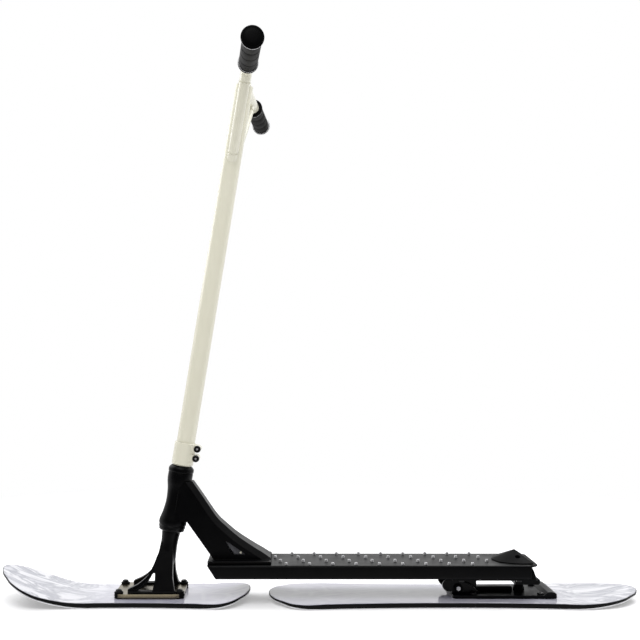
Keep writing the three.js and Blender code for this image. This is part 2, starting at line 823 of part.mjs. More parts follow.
function addNeck(parent) {
  const outline = gussetOutline(gussetBackShares, gussetRearX);
  const roof = gussetRoof();
  const shell = gussetPlan(0)
    .intersect(solidOf(sideExtrusion(polygon(outline), gussetWidth)))
    .intersect(roof);
  const [hollowRearX] = gussetPoint(gussetWindowShares[0]);
  const hollowOutline = gussetOutline(gussetBackShares.slice(0, -2), hollowRearX);
  const hollow = polygon(insetOutline(hollowOutline, gussetWall));
  const cavity = gussetPlan(gussetWall)
    .intersect(solidOf(sideExtrusion(hollow, gussetWidth)))
    .intersect(roof.translate([0, 0, -gussetRoofWall]));
  const headCore = solidOf(onSteeringAxis(
    rod(headTubeWaist / 2 - overrun, headTubeBottom, headTubeTop, middleSides),
  ));
  const window = roundedPolygon(gussetWindowShares.map(gussetPoint), windowCorner);
  const opening = solidOf(sideExtrusion(window, gussetWidth + overrun, windowCornerSteps));
  const flangeMiddle = deckFrontX - neckFlangeLength / 2;
  const flangeShape = roundedRectangle(
    flangeMiddle, 0, neckFlangeLength, neckFlangeWidth, neckFlangeThickness,
  );
  const flange = solidOf(planExtrusion(flangeShape, deckTop + seatGap, neckFlangeTop(), cornerSteps));
  const body = joined([cut(shell, [cavity.subtract(headCore), opening]), flange, headTubeBlank()]);
  addPiece(parent, 'neck', cut(body, headTubeBores()), blackPaint());
}

// Headset

function ring(outerRadius, innerRadius, bottom, top, sides = wideSides) {
  const bore = solidOf(rod(innerRadius, bottom - overrun, top + overrun, sides));
  return solidOf(rod(outerRadius, bottom, top, sides)).subtract(bore);
}

function addBearing(parent, name, bottom) {
  const inner = bearingShoulder / 2;
  const race = ring(bearingDiameter / 2, inner, bottom, bottom + bearingHeight);
  addPiece(parent, name, race, brightSteel());
}

// Steps of a turned piece: inset from its outside and rise, as shares of its height
const crownRaceShares = [
  [0.4, 0], [0.2, 0.2], [0.2, 0.4], [0.3, 0.48], [0.1, 0.56], [0.1, 0.8], [0.2, 1],
];
const dustCapShares = [[0.1, 0], [0, 0.2], [0, 0.52], [0.1, 0.72], [0.32, 0.93], [0.44, 1]];
const barEndShares = [[0, 0.25], [0, 0.5], [0.25, 0.83], [0.75, 1]];

function stepsOf(shares, outerRadius, bottom, height) {
  return shares.map(([insetShare, riseShare]) => (
    [outerRadius - insetShare * height, bottom + riseShare * height]
  ));
}

function addCrownRace(parent) {
  const bottom = crownTop + seatGap;
  const top = bottom + crownRaceHeight;
  const wall = stepsOf(crownRaceShares, headTubeBottomFlare / 2, bottom, crownRaceHeight);
  const profile = [[0, bottom], ...wall, [0, top]];
  const boreRadius = steererDiameter / 2 + tubeFit;
  const bore = solidOf(rod(boreRadius, bottom - overrun, top + overrun, wideSides));
  const race = solidOf(turned(profile, wideSides)).subtract(bore);
  addPiece(parent, 'crown_race', race, blackSteel());
}

function addDustCap(parent) {
  const wall = stepsOf(dustCapShares, dustCapDiameter / 2, dustCapBottom, dustCapHeight);
  const profile = [[0, dustCapBottom], ...wall, [0, dustCapTop]];
  const boreRadius = steererDiameter / 2 + tubeFit;
  const recessRadius = boreRadius + compressionRingHeight;
  const cap = cut(solidOf(turned(profile, wideSides)), [
    solidOf(rod(boreRadius, dustCapBottom - overrun, dustCapTop + overrun, wideSides)),
    solidOf(rod(recessRadius, dustCapBottom - overrun, dustCapBottom + compressionRingHeight, wideSides)),
  ]);
  addPiece(parent, 'dust_cap', cap, blackPaint());
  const wedgeRadius = recessRadius - tubeFit;
  const cone = turned([
    [0, dustCapBottom],
    [boreRadius + compressionRingHeight / 2, dustCapBottom],
    [wedgeRadius, dustCapBottom + compressionRingHeight / 2],
    [wedgeRadius, dustCapBottom + compressionRingHeight - seatGap],
    [0, dustCapBottom + compressionRingHeight - seatGap],
  ], middleSides);
  const bore = solidOf(rod(boreRadius, dustCapBottom - overrun, dustCapTop, wideSides));
  addPiece(parent, 'compression_ring', solidOf(cone).subtract(bore), brightSteel());
}

// Rear hanger, pivot, bumper and base plate

function hangerOutline() {
  const rearX = hangerFrontX - hangerLength;
  const tailX = rearX - hangerTailReach;
  const legRear = hangerFrontX - hangerLegLength;
  const legFoot = rearPlateTop + rearRibHeight + hangerLegClearance;
  const pivotRound = pivotDiameter / 2 + pivotWall;
  const flangeBottom = hangerTop - hangerFlangeThickness;
  const heelBottom = rearPlateTop + bumperStandoff + 2 * seatGap;
  const heelFront = bumperX + bumperTopDiameter / 2 + hangerEndCorner;
  const shape = new THREE.Shape();
  shape.moveTo(hangerFrontX, hangerTop);
  shape.lineTo(rearX, hangerTop);
  shape.lineTo(tailX, hangerTop - hangerTailDrop);
  shape.lineTo(tailX, heelBottom);
  shape.lineTo(heelFront, heelBottom);
  shape.lineTo(heelFront, flangeBottom - hangerFillet);
  shape.quadraticCurveTo(heelFront, flangeBottom, heelFront + hangerFillet, flangeBottom);
  shape.lineTo(legRear - hangerFillet, flangeBottom);
  shape.quadraticCurveTo(legRear, flangeBottom, legRear, flangeBottom - hangerFillet);
  shape.lineTo(legRear, legFoot);
  shape.lineTo(pivotX - pivotRound, pivotHeight);
  shape.absarc(pivotX, pivotHeight, pivotRound, Math.PI, 2 * Math.PI);
  shape.lineTo(hangerFrontX, flangeBottom - hangerEndCorner);
  return shape;
}

function addHanger(parent) {
  const rib = solidOf(sideExtrusion(hangerOutline(), hangerWidth, roundSteps));
  const flangeBottom = hangerTop - hangerFlangeThickness;
  const flangeShape = roundedRectangle(
    hangerFrontX - hangerLength / 2, 0, hangerLength, hangerFlangeWidth, 2 * hangerEndCorner,
  );
  const flange = solidOf(planExtrusion(flangeShape, flangeBottom, hangerTop, cornerSteps));
  const pivotHole = crossRod(
    pivotDiameter / 2 + holeFit, pivotX, pivotHeight, -hangerWidth, hangerWidth, smallSides,
  );
  const boltHoles = hangerBoltPlaces().map(([x, y]) => solidOf(
    rod(hangerBoltDiameter / 2 + holeFit, flangeBottom - overrun, hangerTop + overrun, smallSides)
      .translate(x, y, 0),
  ));
  const hanger = cut(joined([rib, flange]), [solidOf(pivotHole), ...boltHoles]);
  addPiece(parent, 'rear_hanger', hanger, blackPaint());
  hangerBoltPlaces().forEach(([x, y], index) => {
    const headTop = flangeBottom - seatGap;
    const headRadius = hangerBoltHeadDiameter / 2;
    const bolt = joined([
      solidOf(rod(headRadius, headTop - hangerBoltHeadHeight, headTop, hexSides)),
      solidOf(rod(hangerBoltDiameter / 2, headTop - seatGap, headTop + hangerBoltLength, smallSides)),
    ]);
    addPiece(parent, `hanger_bolt_${index + 1}`, bolt, blackSteel(), new THREE.Vector3(x, y, 0));
  });
}

function earOuter() {
  return hangerWidth / 2 + earGap + earThickness;
}

function addPivotBolt(parent) {
  const headInner = earOuter() + seatGap;
  const nutOuter = -headInner - pivotHeadHeight;
  const bolt = joined([
    solidOf(crossRod(
      pivotDiameter / 2, pivotX, pivotHeight, nutOuter - pivotThreadProud, headInner + seatGap, smallSides,
    )),
    solidOf(crossRod(
      pivotHeadDiameter / 2, pivotX, pivotHeight, headInner, headInner + pivotHeadHeight, hexSides,
    )),
  ]);
  addPiece(parent, 'pivot_bolt', bolt, brightSteel());
  const nut = solidOf(crossRod(
    pivotHeadDiameter / 2, pivotX, pivotHeight, nutOuter, -headInner, hexSides,
  )).subtract(solidOf(crossRod(
    pivotDiameter / 2 + tubeFit, pivotX, pivotHeight, nutOuter - overrun, overrun, smallSides,
  )));
  addPiece(parent, 'pivot_nut', nut, brightSteel());
}

function earShape() {
  const lobeX = pivotX + earLobeSetForward;
  const foot = rearPlateTop - rearPlateThickness / 2;
  const lobeTop = earLobeHeight + earLobeRadius;
  const rearX = rearPlateFrontX - earFootLength;
  const shape = new THREE.Shape();
  shape.moveTo(rearX, foot);
  shape.lineTo(rearPlateFrontX, foot);
  shape.lineTo(rearPlateFrontX, earLobeHeight - earLobeRadius);
  shape.absarc(lobeX, earLobeHeight, earLobeRadius, -Math.PI / 2, Math.PI / 2);
  shape.quadraticCurveTo(pivotX, lobeTop, rearX + earFootLength / 3, earLobeHeight + seatGap);
  return shape;
}

function rearScrewPlaces() {
  return [rearScrewFrontX, rearScrewRearX].flatMap((x) => (
    [rearScrewSpread, -rearScrewSpread].map((y) => [x, y])
  ));
}

function addRearPlate(parent) {
  const rearX = rearPlateFrontX - rearPlateLength;
  const plan = roundedRectangle(
    rearPlateFrontX - rearPlateLength / 2, 0, rearPlateLength, rearPlateWidth, rearPlateCorner,
  );
  const side = polygon([
    [rearPlateFrontX + overrun, rearPlateBottom],
    [rearPlateFrontX + overrun, rearPlateTop],
    [rearX + rearPlateTipLength + rearPlateThickness / 3, rearPlateTop],
    [rearX + rearPlateTipLength, rearPlateBottom + rearPlateTipHeight],
    [rearX + rearPlateTipLength / 3, rearPlateTop + rearPlateThickness / 3],
    [rearX - overrun, rearPlateBottom],
  ]);
  const blank = solidOf(planExtrusion(plan, rearPlateBottom, rearPlateBottom + rearPlateTipHeight, 4))
    .intersect(solidOf(sideExtrusion(side, rearPlateWidth + overrun)));
  const earMiddle = earOuter() - earThickness / 2;
  const ears = [earMiddle, -earMiddle].map((y) => (
    solidOf(sideExtrusion(earShape(), earThickness, smallSides).translate(0, y, 0))
  ));
  const pivotHole = crossRod(
    pivotDiameter / 2 + holeFit, pivotX, pivotHeight, -rearPlateWidth, rearPlateWidth, smallSides,
  );
  const screwHoles = rearScrewPlaces().map(([x, y]) => solidOf(
    rod(rearScrewDiameter / 2 + holeFit, rearPlateBottom - overrun, rearPlateTop + overrun, smallSides)
      .translate(x, y, 0),
  ));
  const bumperHoles = [
    rod(bumperScrewDiameter / 2 + holeFit, rearPlateBottom - overrun, rearPlateTop + overrun, smallSides),
    rod(
      bumperScrewHeadDiameter / 2 + holeFit,
      rearPlateBottom - overrun,
      rearPlateBottom + bumperScrewHeadHeight + seatGap,
      wideSides,
    ),
  ].map((tool) => solidOf(tool.translate(bumperX, 0, 0)));
  const rib = solidOf(block(
    bumperX + bumperDiameter / 2 + rearRibGap, rearPlateFrontX - rearRibSetback,
    -rearRibWidth / 2, rearRibWidth / 2,
    rearPlateTop - overrun, rearPlateTop + rearRibHeight,
  ));
  const plate = cut(joined([blank, rib, ...ears]), [solidOf(pivotHole), ...screwHoles, ...bumperHoles]);
  addPiece(parent, 'rear_base_plate', plate, blackPaint());
}

function addBumper(parent) {
  const bottom = rearPlateTop + seatGap;
  const top = bottom + bumperStandoff;
  const screwTop = bottom + bumperScrewReach;
  const cone = turned([
    [0, bottom],
    [bumperDiameter / 2, bottom],
    [bumperDiameter / 2, bottom + bumperStandoff / 4],
    [bumperTopDiameter / 2, top - bumperStandoff / 6],
    [bumperTopDiameter / 2 - bumperStandoff / 6, top],
    [0, top],
  ], middleSides);
  const bore = rod(bumperScrewDiameter / 2 + tubeFit, bottom - overrun, screwTop + seatGap, smallSides);
  const place = new THREE.Vector3(bumperX, 0, 0);
  addPiece(parent, 'bumper', solidOf(cone).subtract(solidOf(bore)), blackRubber(), place);
  const head = bumperScrewHeadHeight;
  const screw = joined([
    solidOf(rod(bumperScrewHeadDiameter / 2, rearPlateBottom, rearPlateBottom + head, smallSides)),
    solidOf(rod(bumperScrewDiameter / 2, rearPlateBottom + head / 2, screwTop, smallSides)),
  ]);
  addPiece(parent, 'bumper_screw', screw, blackSteel(), place);
}

// Screw that holds a plate down on a ski: low head above, shank in the ski's insert
function skiScrew(plateTop, diameter, headDiameter, headHeight, engagement) {
  const seat = plateTop + seatGap;
  return joined([
    solidOf(rod(headDiameter / 2, seat, seat + screwRimShare * headHeight, smallSides)),
    solidOf(rod(screwCrownShare * headDiameter / 2, seat, seat + headHeight, smallSides)),
    solidOf(rod(diameter / 2, skiTop - engagement, seat + seatGap, smallSides)),
  ]);
}

function addRearScrews(parent) {
  rearScrewPlaces().forEach(([x, y], index) => {
    const screw = skiScrew(
      rearPlateTop, rearScrewDiameter, skiScrewHeadDiameter, skiScrewHeadHeight,
      rearScrewEngagement,
    );
    const place = new THREE.Vector3(x, y, 0);
    addPiece(parent, `rear_ski_screw_${index + 1}`, screw, blackSteel(), place);
  });
}

// Fork: steerer, round crown and two splayed legs, each with a curved brace and a foot rail

// Shares of the foot's length ahead of the heel and of the leg's height above the foot
const forkHeelShares = [[0, 0], [0.027, 0.07], [0.07, 0.3], [0.073, 0.45], [0.084, 1]];
const forkFrontShares = [
  [0.345, 1], [0.385, 0.8], [0.425, 0.7], [0.482, 0.55], [0.595, 0.345], [0.777, 0.185], [1, 0.075],
];
const forkWindowShares = [[0.485, 0.04], [0.44, 0.24], [0.445, 0.385], [0.49, 0.39]];
const forkWindowArcShares = [[0.565, 0.245], [0.68, 0.12], [0.815, 0.04]];
const forkPocketShares = [
  [0.48, 0.47], [0.575, 0.315], [0.765, 0.15], [0.9, 0.09], [0.86, 0.06], [0.72, 0.13],
  [0.575, 0.28], [0.49, 0.42],
];

function forkPoint([forwardShare, riseShare]) {
  return new THREE.Vector2(
    forkHeelX + forwardShare * forkFootLength,
    footBottom + riseShare * (forkCrownHeight - footBottom),
  );
}

function forkLegShape() {
  const front = forkFrontShares.map(forkPoint).reverse();
  const heel = forkHeelShares.map(forkPoint).reverse();
  const shape = new THREE.Shape();
  shape.moveTo(forkHeelX, footBottom);
  shape.lineTo(forkHeelX + forkFootLength, footBottom);
  shape.lineTo(front[0].x, front[0].y);
  shape.splineThru(front.slice(1));
  shape.lineTo(heel[0].x, heel[0].y);
  heel.slice(1, -1).forEach((point) => shape.lineTo(point.x, point.y));
  const window = new THREE.Path();
  const upright = forkWindowShares.map(forkPoint);
  window.moveTo(upright[0].x, upright[0].y);
  upright.slice(1).forEach((point) => window.lineTo(point.x, point.y));
  window.splineThru(forkWindowArcShares.map(forkPoint));
  shape.holes.push(window);
  return shape;
}

function forkLeg(side) {
  const slope = (forkLegSpread - forkLegTopSpread) / (forkSplitHeight - footBottom);
  const plate = sideExtrusion(forkLegShape(), forkLegThickness, 2);
  const pocketShape = new THREE.Shape(forkPocketShares.map(forkPoint));
  const pocket = sideExtrusion(pocketShape, 2 * forkPocketDepth)
    .translate(0, side * forkLegThickness / 2, 0);
  const splay = new THREE.Matrix4().makeShear(0, 0, 0, 0, 0, -side * slope);
  const stand = new THREE.Matrix4()
    .makeTranslation(0, side * (forkLegSpread + slope * footBottom), 0)
    .multiply(splay);
  return solidOf(plate.applyMatrix4(stand)).subtract(solidOf(pocket.applyMatrix4(stand)));
}

function forkRail(side) {
  const shape = roundedRectangle(
    forkHeelX + forkFootLength / 2, side * forkLegSpread,
    forkFootLength, forkRailWidth, forkRailThickness,
  );
  return solidOf(planExtrusion(shape, footBottom, footBottom + forkRailThickness, cornerSteps));
}

function forkStem() {
  const crownFoot = forkSplitHeight - forkLegThickness;
  const profile = [
    [0, crownFoot],
    [forkLegTopSpread, crownFoot],
    [forkNeckDiameter / 2 + forkNeckFlare, forkSplitHeight],
    [forkNeckDiameter / 2, forkCrownHeight - seatGap],
    [forkShoulderDiameter / 2, crownTop - forkRailThickness],
    [forkShoulderDiameter / 2, crownTop],
    [steererDiameter / 2, crownTop],
    [steererDiameter / 2, steererTop],
    [0, steererTop],
  ];
  return solidOf(onSteeringAxis(turned(profile, wideSides)));
}

function footScrewPlaces() {
  return [heelScrewX, toeScrewX].flatMap((x) => (
    [footScrewSpread, -footScrewSpread].map((y) => [x, y])
  ));
}

function addFork(parent) {
  const boreFloor = crownTop - forkShoulderDiameter / 2;
  const bore = onSteeringAxis(
    rod(steererDiameter / 2 - steererWall, boreFloor, steererTop + overrun, middleSides),
  );
  const sides = [1, -1];
  const blank = joined([forkStem(), ...sides.map(forkLeg), ...sides.map(forkRail)]);
  const screwHoles = footScrewPlaces().map(([x, y]) => solidOf(
    rod(footScrewDiameter / 2 + holeFit, footBottom - overrun, footBottom + footScrewLength, smallSides)
      .translate(x, y, 0),
  ));
  addPiece(parent, 'fork', cut(blank, [solidOf(bore), ...screwHoles]), blackPaint());
}

// Compression hardware inside the foot of the bar

function addCompression(parent) {
  const sleeveTop = steererTop + seatGap + topCapThickness;
  const outer = barTubeDiameter / 2 - barTubeWall - tubeFit;
  const inner = steererDiameter / 2 + tubeFit;
  const collar = sleeveTop - topCapThickness + seatGap;
  const boltRadius = compressionBoltDiameter / 2;
  const shim = cut(solidOf(rod(outer, collar - shimHeight, sleeveTop, wideSides)), [
    solidOf(rod(inner, collar - shimHeight - overrun, collar, wideSides)),
    solidOf(rod(boltRadius + holeFit, collar - overrun, sleeveTop + overrun, smallSides)),
  ]);
  addPiece(parent, 'steerer_shim', shim, finish('#8d8f93', 0.35, 0.85));
  const head = sleeveTop + seatGap;
  const bolt = joined([
    solidOf(rod(boltRadius, head - compressionBoltLength, head + seatGap, smallSides)),
    solidOf(rod(compressionBoltHeadDiameter / 2, head, head + compressionBoltDiameter, smallSides)),
  ]);
  addPiece(parent, 'compression_bolt', bolt, blackSteel());
  const nutTop = head - topCapThickness - starNutDrop;
  const nutHeight = compressionBoltDiameter;
  const nutRadius = steererDiameter / 2 - steererWall - 2 * seatGap;
  const star = ring(nutRadius, boltRadius + holeFit, nutTop - nutHeight, nutTop, smallSides);
  addPiece(parent, 'star_nut', star, brightSteel());
}

// Bar clamp: split collar with two bolted ears behind the bar

function clampBoltLevels() {
  const middle = clampBottom + clampHeight / 2;
  return [middle + clampBoltSpacing / 2, middle - clampBoltSpacing / 2];
}

function addClamp(parent) {
  const clampTop = clampBottom + clampHeight;
  const earRound = clampEarReach - clampBoltReach;
  const half = clampEarWidth / 2;
  const lobes = clampBoltLevels().map((level) => (
    solidOf(crossRod(earRound, -clampBoltReach, level, -half, half, middleSides))
  ));
  const lip = clampDiameter / 2 - barTubeDiameter / 2;
  const collar = turned([
    [0, clampBottom],
    [clampDiameter / 2 - lip / 4, clampBottom],
    [clampDiameter / 2, clampBottom + lip / 4],
    [clampDiameter / 2, clampTop - lip / 4],
    [clampDiameter / 2 - lip / 4, clampTop],
    [0, clampTop],
  ], wideSides);
  const [upper, lower] = clampBoltLevels();
  const web = block(-clampBoltReach, 0, -half, half, lower - earRound, upper + earRound / 2);
  const blank = joined([solidOf(collar), solidOf(web), ...lobes]);
  const boltHoles = clampBoltLevels().map((level) => solidOf(crossRod(
    clampBoltDiameter / 2 + holeFit, -clampBoltReach, level, -clampEarWidth, clampEarWidth, smallSides,
  )));
  const bore = rod(
    barTubeDiameter / 2 + tubeFit, clampBottom - overrun, clampTop + overrun, wideSides,
  );
  const slot = block(
    -clampEarReach - overrun, 0, -clampSlot / 2, clampSlot / 2,
    clampBottom - overrun, clampTop + overrun,
  );
  addPiece(parent, 'bar_clamp', cut(blank, [solidOf(bore), solidOf(slot), ...boltHoles]), creamPaint());
  clampBoltLevels().forEach((level, index) => {
    const head = half + seatGap;
    const bolt = joined([
      solidOf(crossRod(
        clampBoltHeadDiameter / 2, -clampBoltReach, level, head, head + clampBoltHeadHeight, middleSides,
      )),
      solidOf(crossRod(clampBoltDiameter / 2, -clampBoltReach, level, -half, head + seatGap, smallSides)),
    ]);
    addPiece(parent, `clamp_bolt_${index + 1}`, bolt, blackSteel());
  });
}

// Handlebar and its grips, built about the top of the steering axis

// Turns a form standing on Z into one that lies along a swept half of the crossbar
function alongBar(geometry, side) {
  return geometry
    .rotateX(-side * Math.PI / 2)
    .rotateZ(side * barSweep)
    .translate(0, 0, crossbarHeight);
}

function brace(side) {
  const foot = new THREE.Vector3(0, 0, crossbarHeight - braceDrop);
  const head = new THREE.Vector3(
    -braceReach * Math.tan(barSweep), side * braceReach, crossbarHeight,
  );
  const belly = foot.clone().lerp(head, 1 / 2);
  belly.y += side * braceBow;
  belly.z -= braceBow;
  const path = new THREE.QuadraticBezierCurve3(foot, belly, head);
  const round = new THREE.Shape();
  round.absarc(0, 0, braceDiameter / 2, 0, 2 * Math.PI);
  return solidOf(new THREE.ExtrudeGeometry(round, {
    steps: braceSteps, curveSegments: roundSteps, bevelEnabled: false, extrudePath: path,
  }));
}

function addHandlebar(parent) {
  const sides = [1, -1];
  const half = barWidth / 2 - barEndThickness - seatGap;
  const tube = rod(barTubeDiameter / 2, barBottom, crossbarHeight, wideSides);
  const arm = (radius, from, side) => alongBar(rod(radius, from, half, middleSides), side);
  const elbow = new THREE.SphereGeometry(crossbarDiameter / 2, middleSides, smallSides)
    .translate(0, 0, crossbarHeight);
  const outer = joined([
    solidOf(tube),
    solidOf(elbow),
    ...sides.map((side) => solidOf(arm(crossbarDiameter / 2, 0, side))),
    ...sides.map(brace),
  ]);
  const innerRadius = crossbarDiameter / 2 - crossbarWall;
  const tubeRoof = crossbarHeight - crossbarDiameter / 2;
  const bores = [
    solidOf(rod(barTubeDiameter / 2 - barTubeWall, barBottom - overrun, tubeRoof, wideSides)),
    ...sides.map((side) => solidOf(alongBar(
      rod(innerRadius, braceReach / 4, half + overrun, wideSides), side,
    ))),
    solidOf(block(
      -barTubeDiameter, 0, -barSlitWidth / 2, barSlitWidth / 2,
      barBottom - overrun, barBottom + clampLift + clampHeight,
    )),
  ];
  addPiece(parent, 'handlebar', cut(outer, bores), creamPaint());
}

function gripProfile(inner, outer) {
  const flange = gripFlangeDiameter / 2;
  const body = gripDiameter / 2;
  const pitch = (outer - inner - 2 * gripFlangeThickness) / gripRingCount;
  const rings = Array.from({ length: gripRingCount }, (_, index) => {
    const start = inner + gripFlangeThickness + index * pitch;
    return [
      [body - gripRingDepth, start],
      [body, start + gripBevelShare * pitch],
      [body, start + (1 - gripBevelShare) * pitch],
      [body - gripRingDepth, start + pitch],
    ];
  }).flat().filter((point, index, all) => index === 0 || point[1] - all[index - 1][1] > seatGap);
  return [
    [0, inner],
    [flange - gripRingDepth, inner],
    [flange, inner + gripRingDepth],
    [flange, inner + gripFlangeThickness - gripRingDepth],
    ...rings,
    [body, outer],
    [0, outer],
  ];
}

function addGrips(parent) {
  const inner = gripOuter - gripLength;
  [['left', 1], ['right', -1]].forEach(([name, side]) => {
    const boreRadius = crossbarDiameter / 2 + tubeFit;
    const body = solidOf(alongBar(turned(gripProfile(inner, gripOuter), middleSides), side));
    const bore = rod(boreRadius, inner - overrun, gripOuter + overrun, wideSides);
    const grip = body.subtract(solidOf(alongBar(bore, side)));
    addPiece(parent, `${name}_grip`, grip, blackRubber());
    addBarEnd(parent, name, side, gripOuter + seatGap);
  });
}

function addBarEnd(parent, name, side, seat) {
  const radius = barEndDiameter / 2;
  const stemRadius = crossbarDiameter / 2 - crossbarWall - tubeFit;
  const profile = [
    [0, seat - barEndStem],
    [stemRadius, seat - barEndStem],
    [stemRadius, seat + seatGap],
    [radius - barEndThickness / 4, seat + seatGap],
    ...stepsOf(barEndShares, radius, seat, barEndThickness),
    [0, seat + barEndThickness],
  ];
  const end = solidOf(alongBar(turned(profile, wideSides), side));
  addPiece(parent, `${name}_bar_end`, end, finish('#151516', 0.35, 0.1));
}

// Front base plate on its rubber mounts

function mountPlaces() {
  const frontX = frontPlateRearX + frontPlateLength - mountSetback;
  return [frontX, frontX - mountSpacing].flatMap((x) => (
    [mountSpread, -mountSpread].map((y) => [x, y])
  ));
}

function addFrontPlate(parent) {
  const shape = roundedRectangle(
    frontPlateRearX + frontPlateLength / 2, 0,
    frontPlateLength, frontPlateWidth, frontPlateCorner,
  );
  const blank = solidOf(planExtrusion(shape, frontPlateBottom, frontPlateTop, 4));
  const mountHoles = mountPlaces().map(([x, y]) => solidOf(
    rod(mountBoltDiameter / 2 + holeFit, frontPlateBottom - overrun, frontPlateTop + overrun, smallSides)
      .translate(x, y, 0),
  ));
  const footHoles = footScrewPlaces().map(([x, y]) => solidOf(
    rod(footScrewDiameter / 2 + holeFit, frontPlateBottom - overrun, frontPlateTop + overrun, smallSides)
      .translate(x, y, 0),
  ));
  const plate = cut(blank, [...mountHoles, ...footHoles]);
  addPiece(parent, 'front_base_plate', plate, finish('#c9c6bd', 0.25, 0.9));
}

function addFootScrews(parent) {
  footScrewPlaces().forEach(([x, y], index) => {
    const headTop = frontPlateBottom - seatGap;
    const shankTop = footBottom + footScrewLength - seatGap;
    const screw = joined([
      solidOf(rod(footScrewHeadDiameter / 2, headTop - footScrewHeadHeight, headTop, smallSides)),
      solidOf(rod(footScrewDiameter / 2, headTop - seatGap, shankTop, smallSides)),
    ]);
    addPiece(parent, `foot_screw_${index + 1}`, screw, blackSteel(), new THREE.Vector3(x, y, 0));
  });
}

function rubberDisc(bottom, height) {
  const radius = rubberDiameter / 2;
  const soft = height / 4;
  const disc = turned([
    [0, bottom],
    [radius - soft, bottom],
    [radius, bottom + soft],
    [radius, bottom + height - soft],
    [radius - soft, bottom + height],
    [0, bottom + height],
  ], smallSides);
  const boreRadius = mountBoltDiameter / 2 + holeFit;
  const bore = rod(boreRadius, bottom - overrun, bottom + height + overrun, smallSides);
  return solidOf(disc).subtract(solidOf(bore));
}

function addMounts(parent) {
  mountPlaces().forEach(([x, y], index) => {
    const place = new THREE.Vector3(x, y, 0);
    const count = index + 1;
    const upperBottom = frontPlateTop + seatGap;
    const stackTop = upperBottom + upperRubberHeight;
    const lower = rubberDisc(skiTop + seatGap, lowerRubberHeight);
    addPiece(parent, `lower_rubber_${count}`, lower, blackRubber(), place);
    const upper = rubberDisc(upperBottom, upperRubberHeight);
    addPiece(parent, `upper_rubber_${count}`, upper, blackRubber(), place);
    const bolt = skiScrew(
      stackTop, mountBoltDiameter, mountBoltHeadDiameter, mountBoltHeadHeight, mountBoltEngagement,
    );
    addPiece(parent, `mount_bolt_${count}`, bolt, blackSteel(), place);
  });
}

// Assembly

function addFrame(parent) {
  addDeck(parent);
  addNeck(parent);
  addDeckEndCap(parent);
  addFootWedge(parent);
  addHanger(parent);
}

function addSteering(parent, axis) {
  addFork(parent);
  addCrownRace(axis);
  addDustCap(axis);
  addCompression(axis);
  addClamp(axis);
  addHandlebar(axis);
  addGrips(axis);
  addFrontPlate(parent);
  addFootScrews(parent);
  addMounts(parent);
  const holes = skiScrewHoles(mountPlaces(), mountBoltDiameter, mountBoltEngagement);
  addSki(parent, 'front_ski', frontSki, holes);
}

function addRearTruck(parent) {
  const holes = skiScrewHoles(rearScrewPlaces(), rearScrewDiameter, rearScrewEngagement);
  addSki(parent, 'rear_ski', rearSki, holes);
  addRearPlate(parent);
  addRearScrews(parent);
  addBumper(parent);
  addPivotBolt(parent);
}

const frame = new THREE.Group();
const steering = new THREE.Group();
const steeringAxis = new THREE.Group();
const rearTruck = new THREE.Group();
steeringAxis.position.set(steerFootX, 0, 0);
steeringAxis.rotation.y = -headTilt;
scooter.add(frame, steering, steeringAxis, rearTruck);

addFrame(frame);
addBearing(steeringAxis, 'lower_bearing', headTubeBottom);
addBearing(steeringAxis, 'upper_bearing', headTubeTop - bearingHeight);
addSteering(steering, steeringAxis);
addRearTruck(rearTruck);

export default scooter;
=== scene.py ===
import json
from math import cos, pi, radians, sin, sqrt, tan
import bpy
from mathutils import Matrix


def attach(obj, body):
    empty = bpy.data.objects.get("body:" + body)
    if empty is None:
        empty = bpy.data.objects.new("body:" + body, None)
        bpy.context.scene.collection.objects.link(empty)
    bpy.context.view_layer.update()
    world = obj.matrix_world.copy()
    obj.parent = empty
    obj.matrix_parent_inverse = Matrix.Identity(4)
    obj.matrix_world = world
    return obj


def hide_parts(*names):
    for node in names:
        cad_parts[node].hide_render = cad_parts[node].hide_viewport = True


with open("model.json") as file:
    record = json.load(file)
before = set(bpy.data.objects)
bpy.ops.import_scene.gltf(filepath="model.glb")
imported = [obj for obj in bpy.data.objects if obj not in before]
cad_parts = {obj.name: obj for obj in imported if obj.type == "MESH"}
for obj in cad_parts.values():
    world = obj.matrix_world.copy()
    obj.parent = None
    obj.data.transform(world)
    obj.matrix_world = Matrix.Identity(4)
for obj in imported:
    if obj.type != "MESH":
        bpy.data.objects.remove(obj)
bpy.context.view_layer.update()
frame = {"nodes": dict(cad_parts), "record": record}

from types import SimpleNamespace

import bmesh
import bpy
from mathutils import Matrix, Vector

scene = bpy.context.scene
mm = 0.001  # sizes below are in millimetres until a piece is finished
steerFoot = 301.8  # where the steering axis meets the ground
headTilt = radians(9.3)  # how far it leans back
onSteering = Matrix.Translation((steerFoot, 0, 0)) @ Matrix.Rotation(-headTilt, 4, "Y")


def linearColour(hexColour):
    channels = [int(hexColour[at:at + 2], 16) / 255 for at in (1, 3, 5)]
    return (*[c / 12.92 if c <= 0.04045 else ((c + 0.055) / 1.055) ** 2.4 for c in channels], 1)


def feed(tree, node, inputs):
    # Fills a node's inputs with values, outputs or other nodes' first outputs
    for socket, value in inputs.items():
        if isinstance(value, bpy.types.Node):
            value = value.outputs[0]
        if isinstance(value, bpy.types.NodeSocket):
            tree.links.new(value, node.inputs[socket])
        else:
            node.inputs[socket].default_value = value


def addNode(tree, kind, inputs, **settings):
    made = tree.nodes.new(kind)
    for name, value in settings.items():
        setattr(made, name, value)
    feed(tree, made, inputs)
    return made


def startMaterial(name, inputs):
    material = bpy.data.materials.new(name)
    material.use_nodes = True
    tree = material.node_tree
    tree.nodes.clear()
    shader = addNode(tree, "ShaderNodeBsdfPrincipled", inputs)
    addNode(tree, "ShaderNodeOutputMaterial", {"Surface": shader})
    place = addNode(tree, "ShaderNodeTexCoord", {}).outputs["Object"]
    return material, tree, shader, place


